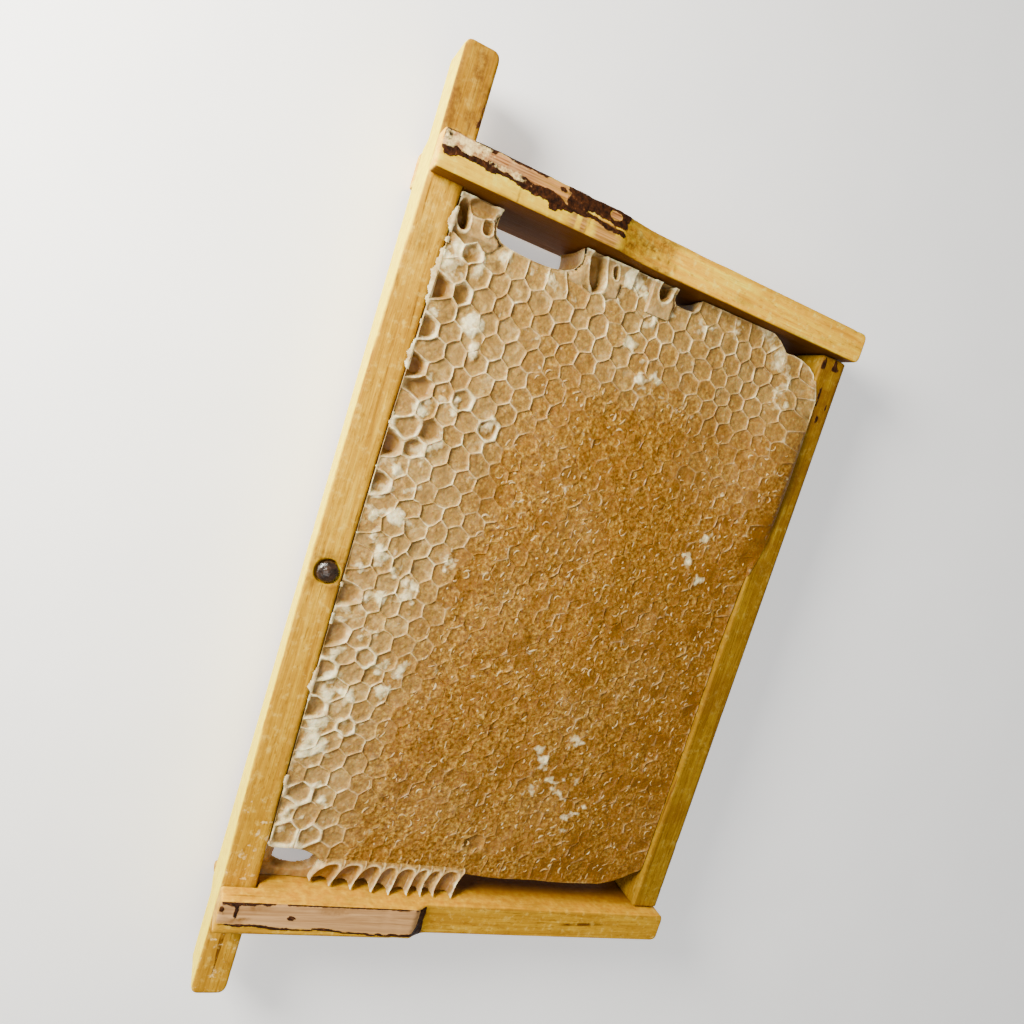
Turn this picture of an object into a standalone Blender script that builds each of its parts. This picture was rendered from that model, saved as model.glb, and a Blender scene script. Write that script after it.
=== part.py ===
"""Small wooden hive frame with its honeycomb, lying flat on its back.

Metres, +Z up. X runs along the top bar, the top bar lies towards +Y, and the
origin is the middle of the footprint on the table. The open cells face up.
"""

import math

import bmesh
import bpy

# The frame, outside measures
FRAME_LENGTH = 0.210       # over the outer faces of the two side bars, along X
FRAME_DROP = 0.142         # top bar's outer face to the side bars' far ends, along Y
BOARD = 0.0095             # thickness of the board that every bar is sawn from
GAP = 0.0003               # clearance left between pieces that touch
EDGE_WEAR = 0.0004         # softened edges of the sawn wood

# Depths of the bars, along Z
TOP_BAR_DEPTH = 0.018
BOTTOM_BAR_DEPTH = 0.0204
NARROW_DEPTH = 0.0274      # side bar below its shoulder
SHOULDER_STEP = 0.0028     # the shoulder stands this far above the narrow part

# Along the side bars, from the top bar's outer face
SHOULDER_RIGHT = 0.051
SHOULDER_LEFT = 0.054
RAMP_RIGHT = 0.014         # cove from the shoulder down to the narrow part
RAMP_LEFT = 0.0055
RAMP_STEPS = 6
BOTTOM_BAR_AT = 0.131
END_ROUND = 0.0018         # rounded corners of the side bars' far ends
BEVEL_START = 0.013        # the left bar's shoulder is bevelled on its inner back edge
BEVEL_REACH = 0.0075

# The top bar
LUG = 0.0237               # how far each end carries on past the side bar
LUG_DEPTH = 0.014
LUG_ROUND = 0.002
WARP = 0.0014              # its upper edge has bowed outward at mid length
WARP_STEPS = 8
KNOT_X = -0.0065
KNOT_Y = 0.0663
KNOT_RADIUS = 0.00305
KNOT_HEIGHT = 0.0016       # half the height of the hard knot
KNOT_HOLE_DEPTH = 0.0022

# The comb: flat sided cells in columns along Y
CELL = 0.006               # across the flats
COLUMN = CELL * math.sqrt(3) / 2
CORNER = CELL / math.sqrt(3)
COLUMNS = 18               # on each side of the middle column
ROWS = 10
COMB_FACE = 0.0222         # height of the open face, just under the top bar's
COMB_BACK = 0.0043
SWELL = 0.004              # the comb swells out near the bottom bar
SWELL_AT = (0.055, -0.058)
SWELL_SPREAD = (0.030, 0.014)
BROW = 0.0012              # and a little under the top bar
BROW_AT = (0.070, 0.060)
BROW_SPREAD = (0.035, 0.008)
HONEY_SINK = 0.0009        # honey lies this far below the cell rims
OPEN_SINK = 0.007          # depth of a cell that stands empty
JITTER = 0.00028           # bees are not exact
OPEN_CELLS = ((0.071, 0.059), (0.031, 0.060), (0.053, 0.060), (-0.082, 0.056),
              (0.093, 0.020), (0.088, 0.019), (0.093, -0.003), (0.088, 0.059),
              (0.078, 0.054), (-0.093, 0.040), (-0.093, 0.034))

TOP_Y = (FRAME_DROP - WARP) / 2
FAR_Y = TOP_Y - FRAME_DROP
OUTER_X = FRAME_LENGTH / 2
INNER_X = OUTER_X - BOARD
SHOULDER_DEPTH = NARROW_DEPTH + SHOULDER_STEP
TOP_BAR_BASE = (NARROW_DEPTH - TOP_BAR_DEPTH) / 2
TOP_BAR_FACE = TOP_BAR_BASE + TOP_BAR_DEPTH
BOTTOM_BAR_BASE = (NARROW_DEPTH - BOTTOM_BAR_DEPTH) / 2
TOP_INNER_Y = TOP_Y - BOARD
BOTTOM_INNER_Y = TOP_Y - BOTTOM_BAR_AT

# Where the comb has been built, walked round its edge. It leaves gaps along
# both side bars and in one far corner.
COMB_EDGE = (
    (-0.0835, TOP_INNER_Y), (-0.0835, 0.0500), (-0.0870, 0.0460),
    (-INNER_X, 0.0460), (-INNER_X, 0.0010), (-0.0890, 0.0010),
    (-0.0890, -0.0480), (-0.0840, BOTTOM_INNER_Y),
    (0.0885, BOTTOM_INNER_Y), (0.0910, -0.0500), (INNER_X, -0.0430),
    (INNER_X, -0.0150), (0.0905, -0.0150), (0.0905, -0.0060),
    (INNER_X, -0.0060), (INNER_X, 0.0235), (0.0870, 0.0245),
    (0.0870, 0.0490), (INNER_X, 0.0490), (INNER_X, TOP_INNER_Y),
)


def clear_scene():
    for item in list(bpy.data.objects):
        bpy.data.objects.remove(item, do_unlink=True)


def material(name, colour, roughness):
    """A plain Principled finish."""
    finish = bpy.data.materials.new(name)
    finish.use_nodes = True
    shader = finish.node_tree.nodes["Principled BSDF"]
    shader.inputs["Base Color"].default_value = (*colour, 1.0)
    shader.inputs["Roughness"].default_value = roughness
    shader.inputs["Metallic"].default_value = 0.0
    return finish


def add_object(name, shape, finish):
    """Turn a bmesh into a named object with its finish."""
    bmesh.ops.recalc_face_normals(shape, faces=shape.faces)
    mesh = bpy.data.meshes.new(name)
    shape.to_mesh(mesh)
    shape.free()
    mesh.materials.append(finish)
    item = bpy.data.objects.new(name, mesh)
    bpy.context.scene.collection.objects.link(item)
    return item


def soften(item):
    """Wear the sharp edges of a piece of wood."""
    bevel = item.modifiers.new("worn edges", "BEVEL")
    bevel.width = EDGE_WEAR
    bevel.segments = 1
    bevel.limit_method = "ANGLE"
    bevel.angle_limit = math.radians(35)


def cut(item, cutter):
    """Take the cutter's shape out of a piece."""
    cutter.hide_render = True
    cutter.display_type = "WIRE"
    boolean = item.modifiers.new("cut " + cutter.name, "BOOLEAN")
    boolean.operation = "DIFFERENCE"
    boolean.solver = "EXACT"
    boolean.object = cutter


def prism(shape, outline, low, high, place):
    """Close an outline into a prism; place(u, v, w) gives each corner."""
    rings = []
    for w in (low, high):
        rings.append([shape.verts.new(place(u, v, w)) for u, v in outline])
    shape.faces.new(rings[0])
    shape.faces.new(list(reversed(rings[1])))
    count = len(outline)
    for i in range(count):
        j = (i + 1) % count
        shape.faces.new((rings[0][i], rings[1][i], rings[1][j], rings[0][j]))
    return rings


def warp_at(x):
    """How far the top bar's upper edge is bowed outward at x."""
    share = min(abs(x) / INNER_X, 1.0)
    return WARP * (1.0 - share * share)


def round_end_corners(shape, at, axis, radius):
    """Round the corners that stand along Z at one end of a bar."""
    corners = []
    for edge in shape.edges:
        first, second = edge.verts
        upright = abs(first.co.z - second.co.z) > radius
        if upright and abs(first.co[axis] - at) < 1e-5 and abs(second.co[axis] - at) < 1e-5:
            corners.append(edge)
    bmesh.ops.bevel(shape, geom=corners, offset=radius, segments=3, profile=0.5,
                    affect="EDGES")


def side_profile(shoulder, ramp):
    """Outline of a side bar in the YZ plane, with the slot for the top bar."""
    slot_y = TOP_INNER_Y - GAP
    low = TOP_BAR_BASE - GAP
    high = TOP_BAR_FACE + GAP
    outline = [(TOP_Y, 0.0), (TOP_Y, low), (slot_y, low), (slot_y, high),
               (TOP_Y, high), (TOP_Y, SHOULDER_DEPTH)]
    ramp_y = TOP_Y - shoulder
    for step in range(RAMP_STEPS + 1):
        share = step / RAMP_STEPS
        rise = SHOULDER_STEP * (1.0 - math.sin(share * math.pi / 2))
        outline.append((ramp_y - ramp * share, NARROW_DEPTH + rise))
    outline += [(FAR_Y, NARROW_DEPTH), (FAR_Y, 0.0)]
    return outline


def build_side_bar(name, x, shoulder, ramp, finish):
    shape = bmesh.new()
    prism(shape, side_profile(shoulder, ramp), x - BOARD / 2, x + BOARD / 2,
          lambda y, z, w: (w, y, z))
    round_end_corners(shape, FAR_Y, 1, END_ROUND)
    return add_object(name, shape, finish)


def build_side_bars(finish):
    middle = OUTER_X - BOARD / 2
    right = build_side_bar("side_bar_right", middle, SHOULDER_RIGHT, RAMP_RIGHT, finish)
    left = build_side_bar("side_bar_left", -middle, SHOULDER_LEFT, RAMP_LEFT, finish)
    cut(left, shoulder_bevel())
    soften(right)
    soften(left)


def shoulder_bevel():
    """Wedge that bevels the inner back edge of the left bar's shoulder."""
    slope = BEVEL_START / BEVEL_REACH
    over = 0.001
    inner = -INNER_X + over
    foot = -INNER_X - BEVEL_REACH - over
    outline = [(inner, BEVEL_START + over * slope), (foot, -over * slope),
               (inner, -over * slope)]
    shape = bmesh.new()
    prism(shape, outline, TOP_Y - SHOULDER_LEFT, TOP_Y + over,
          lambda x, z, y: (x, y, z))
    return add_object("shoulder_bevel", shape, None)


def build_top_bar(finish):
    """Top bar with its two lugs and the bow of its upper edge."""
    lug_end = OUTER_X + LUG
    half = [(INNER_X * step / WARP_STEPS, TOP_BAR_BASE) for step in range(WARP_STEPS + 1)]
    half.append((OUTER_X + GAP, TOP_BAR_BASE))
    half.append((OUTER_X + LUG_ROUND, TOP_BAR_FACE - LUG_DEPTH))
    half.append((lug_end, TOP_BAR_FACE - LUG_DEPTH))
    stations = [(-x, base) for x, base in reversed(half[1:])] + half
    shape = bmesh.new()
    rings = []
    for x, base in stations:
        bow = warp_at(x)
        corners = ((TOP_Y, base), (TOP_INNER_Y, base),
                   (TOP_INNER_Y + bow, TOP_BAR_FACE), (TOP_Y + bow, TOP_BAR_FACE))
        rings.append([shape.verts.new((x, y, z)) for y, z in corners])
    for ring, following in zip(rings, rings[1:]):
        for i in range(4):
            j = (i + 1) % 4
            shape.faces.new((ring[i], ring[j], following[j], following[i]))
    shape.faces.new(rings[0])
    shape.faces.new(rings[-1])
    for end in (-lug_end, lug_end):
        round_end_corners(shape, end, 0, LUG_ROUND)
    bar = add_object("top_bar", shape, finish)
    soften(bar)
    cut(bar, knot_hole())


def knot_hole():
    shape = bmesh.new()
    reach = 0.002
    bmesh.ops.create_cone(shape, cap_ends=True, segments=16, radius1=KNOT_RADIUS + GAP,
                          radius2=KNOT_RADIUS + GAP, depth=KNOT_HOLE_DEPTH + reach)
    hole = add_object("knot_hole", shape, None)
    hole.location = (KNOT_X, KNOT_Y, TOP_BAR_FACE + (reach - KNOT_HOLE_DEPTH) / 2)
    return hole


def build_knot(finish):
    """The hard dark knot that stands out of the top bar's face."""
    shape = bmesh.new()
    bmesh.ops.create_uvsphere(shape, u_segments=16, v_segments=6, radius=1.0)
    bmesh.ops.scale(shape, vec=(KNOT_RADIUS, KNOT_RADIUS, KNOT_HEIGHT), verts=shape.verts)
    knot = add_object("knot", shape, finish)
    knot.location = (KNOT_X, KNOT_Y, TOP_BAR_FACE - GAP)
    knot.data.shade_smooth()


def build_bottom_bar(finish):
    shape = bmesh.new()
    outline = [(BOTTOM_INNER_Y, BOTTOM_BAR_BASE),
               (BOTTOM_INNER_Y - BOARD, BOTTOM_BAR_BASE),
               (BOTTOM_INNER_Y - BOARD, BOTTOM_BAR_BASE + BOTTOM_BAR_DEPTH),
               (BOTTOM_INNER_Y, BOTTOM_BAR_BASE + BOTTOM_BAR_DEPTH)]
    prism(shape, outline, -INNER_X + GAP, INNER_X - GAP, lambda y, z, w: (w, y, z))
    bar = add_object("bottom_bar", shape, finish)
    soften(bar)


def mound(x, y, centre, spread, height):
    """A smooth rise of the comb's face."""
    across = (x - centre[0]) / spread[0]
    along = (y - centre[1]) / spread[1]
    return height * math.exp(-across * across - along * along)


def comb_face_height(x, y):
    rise = mound(x, y, SWELL_AT, SWELL_SPREAD, SWELL)
    return COMB_FACE + rise + mound(x, y, BROW_AT, BROW_SPREAD, BROW)


def comb_back_height(x, y):
    return COMB_BACK + mound(x, y, (0.0, 0.0), (0.05, 0.03), -0.0008)


def inside_comb(x, y):
    """True where the comb's outline encloses the point."""
    inside = False
    previous = COMB_EDGE[-1]
    for corner in COMB_EDGE:
        crosses = (corner[1] > y) != (previous[1] > y)
        if crosses:
            share = (y - corner[1]) / (previous[1] - corner[1])
            if x < corner[0] + share * (previous[0] - corner[0]):
                inside = not inside
        previous = corner
    return inside


def cell_centres():
    """Centres of the cells that the bees have built."""
    centres = []
    for column in range(-COLUMNS, COLUMNS + 1):
        offset = 0.5 if column % 2 else 0.0
        for row in range(-ROWS - 1, ROWS + 1):
            x = column * COLUMN
            y = (row + offset) * CELL
            near_bar = math.copysign(min(abs(y), TOP_INNER_Y - 2 * GAP), y)
            if inside_comb(x, near_bar) and abs(y) < TOP_INNER_Y + GAP:
                centres.append((x, y))
    return centres


def unevenness(x, y):
    """A small fixed shift for each cell corner."""
    across = math.sin(x * 9731.0 + y * 4127.0)
    along = math.sin(x * 3571.0 - y * 8563.0)
    return JITTER * across, JITTER * along


def settle(x, y, face):
    """Move a cell corner off its grid place, and up to the bar it is built on."""
    shift_x, shift_y = unevenness(round(x, 4), round(y, 4))
    limit_x = INNER_X - GAP
    top = TOP_INNER_Y - GAP + (warp_at(x) if face else 0.0)
    bottom = BOTTOM_INNER_Y + GAP
    near = CELL / 4
    new_x = max(-limit_x, min(limit_x, x + shift_x))
    new_y = y + shift_y
    if y > TOP_INNER_Y - near:
        new_y = top
    if y < BOTTOM_INNER_Y + near:
        new_y = bottom
    return new_x, new_y


def build_comb(finish):
    """Both faces of the comb, every cell a hollow with its own rim."""
    shape = bmesh.new()
    corners = {}

    def corner(x, y):
        key = (round(x * 1e5), round(y * 1e5))
        if key not in corners:
            front_x, front_y = settle(x, y, True)
            back_x, back_y = settle(x, y, False)
            corners[key] = (
                shape.verts.new((front_x, front_y, comb_face_height(x, y))),
                shape.verts.new((back_x, back_y, comb_back_height(x, y))))
        return corners[key]

    centres = cell_centres()
    empty = {min(centres, key=lambda c: math.dist(c, spot)) for spot in OPEN_CELLS}
    sides = {}
    for x, y in centres:
        ring = []
        for turn in range(6):
            angle = turn * math.pi / 3
            ring.append(corner(x + CORNER * math.cos(angle), y + CORNER * math.sin(angle)))
        sink = OPEN_SINK if (x, y) in empty else HONEY_SINK
        for side, way in ((0, 1.0), (1, -1.0)):
            middle = sum((pair[side].co for pair in ring), start=ring[0][side].co * 0) / 6
            depth = sink if side == 0 else HONEY_SINK
            middle.z -= way * depth
            heart = shape.verts.new(middle)
            for i in range(6):
                shape.faces.new((heart, ring[i][side], ring[(i + 1) % 6][side]))
        for i in range(6):
            key = frozenset((ring[i][0], ring[(i + 1) % 6][0]))
            sides.setdefault(key, []).append((ring[i], ring[(i + 1) % 6]))
    for uses in sides.values():
        if len(uses) == 1:
            start, end = uses[0]
            shape.faces.new((start[0], start[1], end[1], end[0]))
    add_object("comb", shape, finish)


def main():
    clear_scene()
    pine = material("pine", (0.62, 0.38, 0.12), 0.6)
    resin = material("dark knot", (0.02, 0.012, 0.008), 0.25)
    honey = material("honeycomb", (0.48, 0.24, 0.045), 0.4)
    build_top_bar(pine)
    build_knot(resin)
    build_side_bars(pine)
    build_bottom_bar(pine)
    build_comb(honey)


main()
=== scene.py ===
import math

import bpy
import numpy as np
from mathutils import Matrix, Vector


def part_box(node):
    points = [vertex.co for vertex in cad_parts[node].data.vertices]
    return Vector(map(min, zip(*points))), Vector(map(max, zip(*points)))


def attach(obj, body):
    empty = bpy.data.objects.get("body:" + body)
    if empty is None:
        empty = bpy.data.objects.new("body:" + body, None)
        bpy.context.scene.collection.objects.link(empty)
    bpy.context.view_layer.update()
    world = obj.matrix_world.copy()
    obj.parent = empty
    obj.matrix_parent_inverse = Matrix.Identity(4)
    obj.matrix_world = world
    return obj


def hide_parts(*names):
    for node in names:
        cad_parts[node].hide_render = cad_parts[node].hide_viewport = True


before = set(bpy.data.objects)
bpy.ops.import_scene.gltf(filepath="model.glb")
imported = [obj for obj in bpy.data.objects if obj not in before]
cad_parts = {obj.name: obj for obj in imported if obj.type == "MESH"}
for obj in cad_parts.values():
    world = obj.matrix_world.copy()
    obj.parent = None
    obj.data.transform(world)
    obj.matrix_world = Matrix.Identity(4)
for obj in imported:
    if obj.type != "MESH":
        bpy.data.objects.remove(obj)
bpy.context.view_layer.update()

MM = 0.001

# ---------------------------------------------------------------- frame sizes
WARP = 1.4 * MM                             # how far the top bar bows outward
INNER_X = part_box("side_bar_right")[0][0]    # the right bar's inner face
_, BOTTOM_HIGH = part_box("bottom_bar")
FOOT_Y = BOTTOM_HIGH[1]                     # the bottom bar's inner face
BOTTOM_FACE = BOTTOM_HIGH[2]                # its upper face
KNOT_LOW, KNOT_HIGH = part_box("knot")


# ---------------------------------------------------------------- small tools
def hash01(cell, seed):
    """A fixed number from 0 to 1 for each whole-numbered place."""
    value = np.sin(cell[..., 0] * 127.1 + cell[..., 1] * 311.7 + cell[..., 2] * 74.7
                   + seed * 53.31) * 43758.5453
    return value - np.floor(value)


def noise(points, size, seed):
    """Smooth noise from -1 to 1; size is the grain in metres, one number or three."""
    scaled = np.asarray(points, dtype=float) / np.asarray(size, dtype=float)
    base = np.floor(scaled)
    part = scaled - base
    part = part * part * (3.0 - 2.0 * part)
    total = np.zeros(scaled.shape[:-1])
    for corner in range(8):
        step = np.array([corner & 1, (corner >> 1) & 1, (corner >> 2) & 1], dtype=float)
        weight = np.prod(np.where(step > 0, part, 1.0 - part), axis=-1)
        total += weight * hash01(base + step, seed)
    return total * 2.0 - 1.0


def flat_points(xy):
    """Add a zero third coordinate."""
    return np.concatenate([xy, np.zeros(xy.shape[:-1] + (1,))], axis=-1)


def smoothstep(low, high, value):
    t = np.clip((value - low) / (high - low), 0.0, 1.0)
    return t * t * (3.0 - 2.0 * t)


def bump_at(xy, centre, spread):
    across = (xy[..., 0] - centre[0]) / spread[0]
    along = (xy[..., 1] - centre[1]) / spread[1]
    return np.exp(-across * across - along * along)


def mesh_object(name, verts, faces, material, attributes=None):
    """A mesh object from numpy arrays; attributes are one float per vertex."""
    mesh = bpy.data.meshes.new(name)
    faces = np.asarray(faces)
    mesh.vertices.add(len(verts))
    mesh.vertices.foreach_set("co", np.asarray(verts, dtype=np.float32).ravel())
    mesh.loops.add(faces.size)
    mesh.loops.foreach_set("vertex_index", faces.ravel().astype(np.int32))
    mesh.polygons.add(len(faces))
    width = faces.shape[1]
    mesh.polygons.foreach_set("loop_start", np.arange(0, faces.size, width, dtype=np.int32))
    mesh.polygons.foreach_set("loop_total", np.full(len(faces), width, dtype=np.int32))
    mesh.update(calc_edges=True)
    mesh.validate()
    mesh.shade_smooth()
    for key, values in (attributes or {}).items():
        layer = mesh.attributes.new(key, "FLOAT", "POINT")
        layer.data.foreach_set("value", np.asarray(values, dtype=np.float32))
    mesh.materials.append(material)
    piece = bpy.data.objects.new(name, mesh)
    bpy.context.scene.collection.objects.link(piece)
    return piece


# ---------------------------------------------------------------- materials
class Nodes:
    """Short calls for building a material's node tree."""

    def __init__(self, name):
        self.material = bpy.data.materials.new(name)
        self.material.use_nodes = True
        self.tree = self.material.node_tree
        self.shader = self.tree.nodes["Principled BSDF"]

    def add(self, kind, **inputs):
        node = self.tree.nodes.new(kind)
        for key, value in inputs.items():
            self.feed(node.inputs[key.replace("_", " ")], value)
        return node

    def feed(self, socket, value):
        if isinstance(value, bpy.types.NodeSocket):
            self.tree.links.new(value, socket)
        else:
            socket.default_value = value

    def coords(self):
        return self.add("ShaderNodeTexCoord").outputs["Object"]

    def stretched(self, scale, offset=(0.0, 0.0, 0.0)):
        node = self.add("ShaderNodeMapping")
        self.feed(node.inputs["Vector"], self.coords())
        node.inputs["Scale"].default_value = scale
        node.inputs["Location"].default_value = offset
        return node.outputs["Vector"]

    def noise(self, vector, scale, detail=3.0, rough=0.5, distortion=0.0):
        node = self.add("ShaderNodeTexNoise", Vector=vector, Scale=scale, Detail=detail,
                        Roughness=rough, Distortion=distortion)
        return node.outputs["Fac"]

    def voronoi(self, vector, scale):
        node = self.add("ShaderNodeTexVoronoi")
        node.feature = "F1"
        self.feed(node.inputs["Vector"], vector)
        node.inputs["Scale"].default_value = scale
        return node.outputs["Distance"]

    def ramp(self, fac, stops):
        node = self.add("ShaderNodeValToRGB")
        self.feed(node.inputs["Fac"], fac)
        bar = node.color_ramp
        while len(bar.elements) < len(stops):
            bar.elements.new(0.5)
        for element, (place, colour) in zip(bar.elements, stops):
            element.position = place
            element.color = (*colour, 1.0)
        return node.outputs["Color"]

    def map(self, value, low, high, to_low=0.0, to_high=1.0):
        node = self.add("ShaderNodeMapRange")
        self.feed(node.inputs["Value"], value)
        node.inputs["From Min"].default_value = low
        node.inputs["From Max"].default_value = high
        node.inputs["To Min"].default_value = to_low
        node.inputs["To Max"].default_value = to_high
        return node.outputs["Result"]

    def math(self, operation, first, second=0.0):
        node = self.add("ShaderNodeMath")
        node.operation = operation
        self.feed(node.inputs[0], first)
        self.feed(node.inputs[1], second)
        return node.outputs["Value"]

    def mix(self, fac, first, second):
        node = self.add("ShaderNodeMix")
        node.data_type = "RGBA"
        self.feed(node.inputs[0], fac)
        self.feed(node.inputs[6], first if not isinstance(first, tuple) else (*first, 1.0))
        self.feed(node.inputs[7], second if not isinstance(second, tuple) else (*second, 1.0))
        return node.outputs[2]

    def attribute(self, name):
        node = self.add("ShaderNodeAttribute")
        node.attribute_name = name
        return node.outputs["Fac"]

    def bump(self, height, distance, strength):
        node = self.add("ShaderNodeBump", Height=height, Distance=distance, Strength=strength)
        return node.outputs["Normal"]

    def finish(self, colour, roughness, normal=None, **plain):
        self.feed(self.shader.inputs["Base Color"], colour)
        self.feed(self.shader.inputs["Roughness"], roughness)
        if normal is not None:
            self.feed(self.shader.inputs["Normal"], normal)
        for key, value in plain.items():
            self.shader.inputs[key.replace("_", " ")].default_value = value
        return self.material


def honeycomb_material():
    n = Nodes("set honey and wax")
    plain = n.coords()
    grains = n.noise(plain, 980.0, 3.0, 0.60)
    crystals = n.voronoi(plain, 950.0)
    clouds = n.noise(plain, 160.0, 3.0, 0.55)
    honey = n.ramp(grains, [(0.34, (0.100, 0.035, 0.001)), (0.46, (0.190, 0.078, 0.004)),
                            (0.57, (0.29, 0.138, 0.012)), (0.68, (0.48, 0.285, 0.055))])
    honey = n.mix(n.map(crystals, 0.1, 0.5, 0.30, 0.0), honey, (0.46, 0.28, 0.065))
    honey = n.mix(n.map(clouds, 0.40, 0.68, 0.0, 0.55), honey, (0.21, 0.080, 0.005))
    tone = n.attribute("tone")
    honey = n.mix(n.map(tone, 0.0, 1.0, 0.0, 0.55), honey, (0.42, 0.275, 0.085))
    murk = n.noise(plain, 330.0, 4.0, 0.65, 0.5)
    dull = n.math("MULTIPLY", tone, n.map(murk, 0.48, 0.70, 0.0, 0.75))
    honey = n.mix(dull, honey, (0.13, 0.072, 0.020))
    frost = n.math("MULTIPLY", tone, n.map(murk, 0.46, 0.30, 0.0, 0.55))
    honey = n.mix(frost, honey, (0.58, 0.43, 0.19))
    amber = n.attribute("amber")
    honey = n.mix(amber, honey, (0.150, 0.056, 0.001))
    wax = n.attribute("wax")
    flecks = n.noise(plain, 700.0, 3.0, 0.6)
    wax_fac = n.math("MULTIPLY", wax, n.map(flecks, 0.30, 0.62, 0.35, 1.0))
    wax_colour = n.ramp(n.noise(plain, 260.0, 2.0, 0.5),
                        [(0.3, (0.50, 0.32, 0.10)), (0.7, (0.86, 0.68, 0.36))])
    colour = n.mix(wax_fac, honey, wax_colour)
    patch = n.noise(plain, 420.0, 4.0, 0.6, 0.6)
    white = n.attribute("white")
    white = n.map(n.math("ADD", white, n.map(patch, 0.25, 0.75, -0.42, 0.42)), 0.30, 0.95)
    white_colour = n.ramp(flecks, [(0.3, (0.62, 0.49, 0.21)), (0.7, (0.90, 0.81, 0.50))])
    colour = n.mix(white, colour, white_colour)
    # painted shade: dark brown laid where shade falls, in open cells, burr cups, web openings and along the
    # top bar
    painted_shade = n.attribute("painted_shade")
    painted_shade_colour = n.ramp(n.noise(plain, 300.0, 2.0, 0.5),
                         [(0.3, (0.15, 0.06, 0.006)), (0.7, (0.30, 0.15, 0.025))])
    colour = n.mix(painted_shade, colour, painted_shade_colour)
    height = n.math("ADD", n.math("MULTIPLY", grains, 0.7), n.math("MULTIPLY", crystals, 0.5))
    normal = n.bump(height, 0.00022, 0.75)
    rough = n.map(wax, 0.0, 1.0, 0.36, 0.48)
    return n.finish(colour, rough, normal, Subsurface_Weight=0.18, Subsurface_Scale=0.0015,
                    Specular_IOR_Level=0.22)


def wood_material(name, fibre, gain, glow):
    """Sawn pine with the grain along fibre, stained by honey, wax and propolis, with painted light and
    painted shade on some faces.
    """
    n = Nodes(name)

    def tint(red, green, blue):
        return (min(red * gain, 0.95), min(green * gain, 0.9), blue * gain)

    def along(share, offset=(0.0, 0.0, 0.0)):
        """Coordinates drawn out along the fibre."""
        return n.stretched(tuple(share if axis == fibre else 1.0 for axis in range(3)), offset)

    grain = n.noise(along(0.05), 520.0, 5.0, 0.66, 0.5)
    fibres = n.noise(along(0.03), 2200.0, 3.0, 0.6)
    bands = n.noise(along(0.12, (3.1, 1.7, 0.4)), 110.0, 3.0, 0.5, 0.8)
    blotch = n.noise(n.coords(), 75.0, 4.0, 0.6)
    fine = n.noise(n.coords(), 900.0, 4.0, 0.65)
    colour = n.ramp(grain, [(0.30, tint(0.30, 0.125, 0.003)), (0.43, tint(0.50, 0.245, 0.006)),
                            (0.57, tint(0.66, 0.36, 0.010)), (0.72, tint(0.82, 0.52, 0.04))])
    colour = n.mix(n.map(fibres, 0.40, 0.68, 0.0, 0.45), colour, tint(0.38, 0.165, 0.004))
    colour = n.mix(n.map(bands, 0.45, 0.70, 0.0, 0.45), colour, tint(0.48, 0.23, 0.005))
    colour = n.mix(n.map(blotch, 0.50, 0.72, 0.0, 0.5), colour, tint(0.34, 0.15, 0.005))
    mottle = n.noise(n.coords(), 480.0, 4.0, 0.6)
    splits = n.noise(along(0.05, (0.7, 0.2, 0.9)), 650.0, 2.0, 0.5, 0.3)
    split = n.math("MULTIPLY", n.map(splits, 0.66, 0.71), n.map(blotch, 0.42, 0.58))
    colour = n.mix(split, colour, (0.10, 0.035, 0.003))
    colour = n.mix(n.map(mottle, 0.54, 0.72, 0.0, 0.5), colour, tint(0.92, 0.64, 0.10))
    colour = n.mix(n.map(mottle, 0.44, 0.30, 0.0, 0.5), colour, tint(0.36, 0.17, 0.004))
    pores = n.noise(along(0.30, (0.3, 0.9, 0.6)), 1300.0, 3.0, 0.65)
    colour = n.mix(n.map(pores, 0.56, 0.70, 0.0, 0.75), colour, tint(0.30, 0.125, 0.003))
    # golden wood, and painted light where a face turned to the lamps is painted brighter and yellower
    colour = n.mix(n.attribute("golden_and_painted_light"), colour, n.mix(n.map(mottle, 0.35, 0.65), glow[0], glow[1]))
    # painted shade: dark brown on the side bars' faces and edges that lie in shade; on the top bar it
    # darkens the lug's end
    colour = n.mix(n.attribute("shade"), colour, (0.105, 0.031, 0.0005))
    colour = n.mix(n.attribute("pale"), colour,
                   n.mix(n.map(grain, 0.35, 0.65), (0.26, 0.125, 0.045), (0.52, 0.29, 0.125)))
    colour = n.mix(n.attribute("red"), colour,
                   n.mix(n.map(fibres, 0.35, 0.65), (0.13, 0.042, 0.010), (0.46, 0.21, 0.070)))
    stain = n.math("MULTIPLY", n.attribute("stain"), n.map(fine, 0.35, 0.6, 0.4, 1.0))
    colour = n.mix(stain, colour, (0.15, 0.06, 0.006))
    resin = n.attribute("propolis")
    edge = n.map(n.math("ADD", resin, n.map(fine, 0.2, 0.8, -0.36, 0.36)), 0.40, 0.62)
    colour = n.mix(edge, colour, n.ramp(fine, [(0.38, (0.010, 0.004, 0.002)),
                                               (0.62, (0.045, 0.014, 0.004)),
                                               (0.75, (0.16, 0.06, 0.02))]))
    speck = n.attribute("wax")
    speck_edge = n.map(n.math("ADD", speck, n.map(fine, 0.2, 0.8, -0.36, 0.36)), 0.50, 0.85)
    colour = n.mix(speck_edge, colour, (0.80, 0.60, 0.24))
    height = n.math("ADD", n.math("MULTIPLY", grain, 0.8), n.math("MULTIPLY", fibres, 0.6))
    height = n.math("ADD", height, n.math("MULTIPLY", edge, n.math("MULTIPLY", fine, 1.8)))
    normal = n.bump(height, 0.00022, 0.7)
    rough = n.map(edge, 0.0, 1.0, 0.60, 0.42)
    return n.finish(colour, rough, normal, Specular_IOR_Level=0.09)


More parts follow.
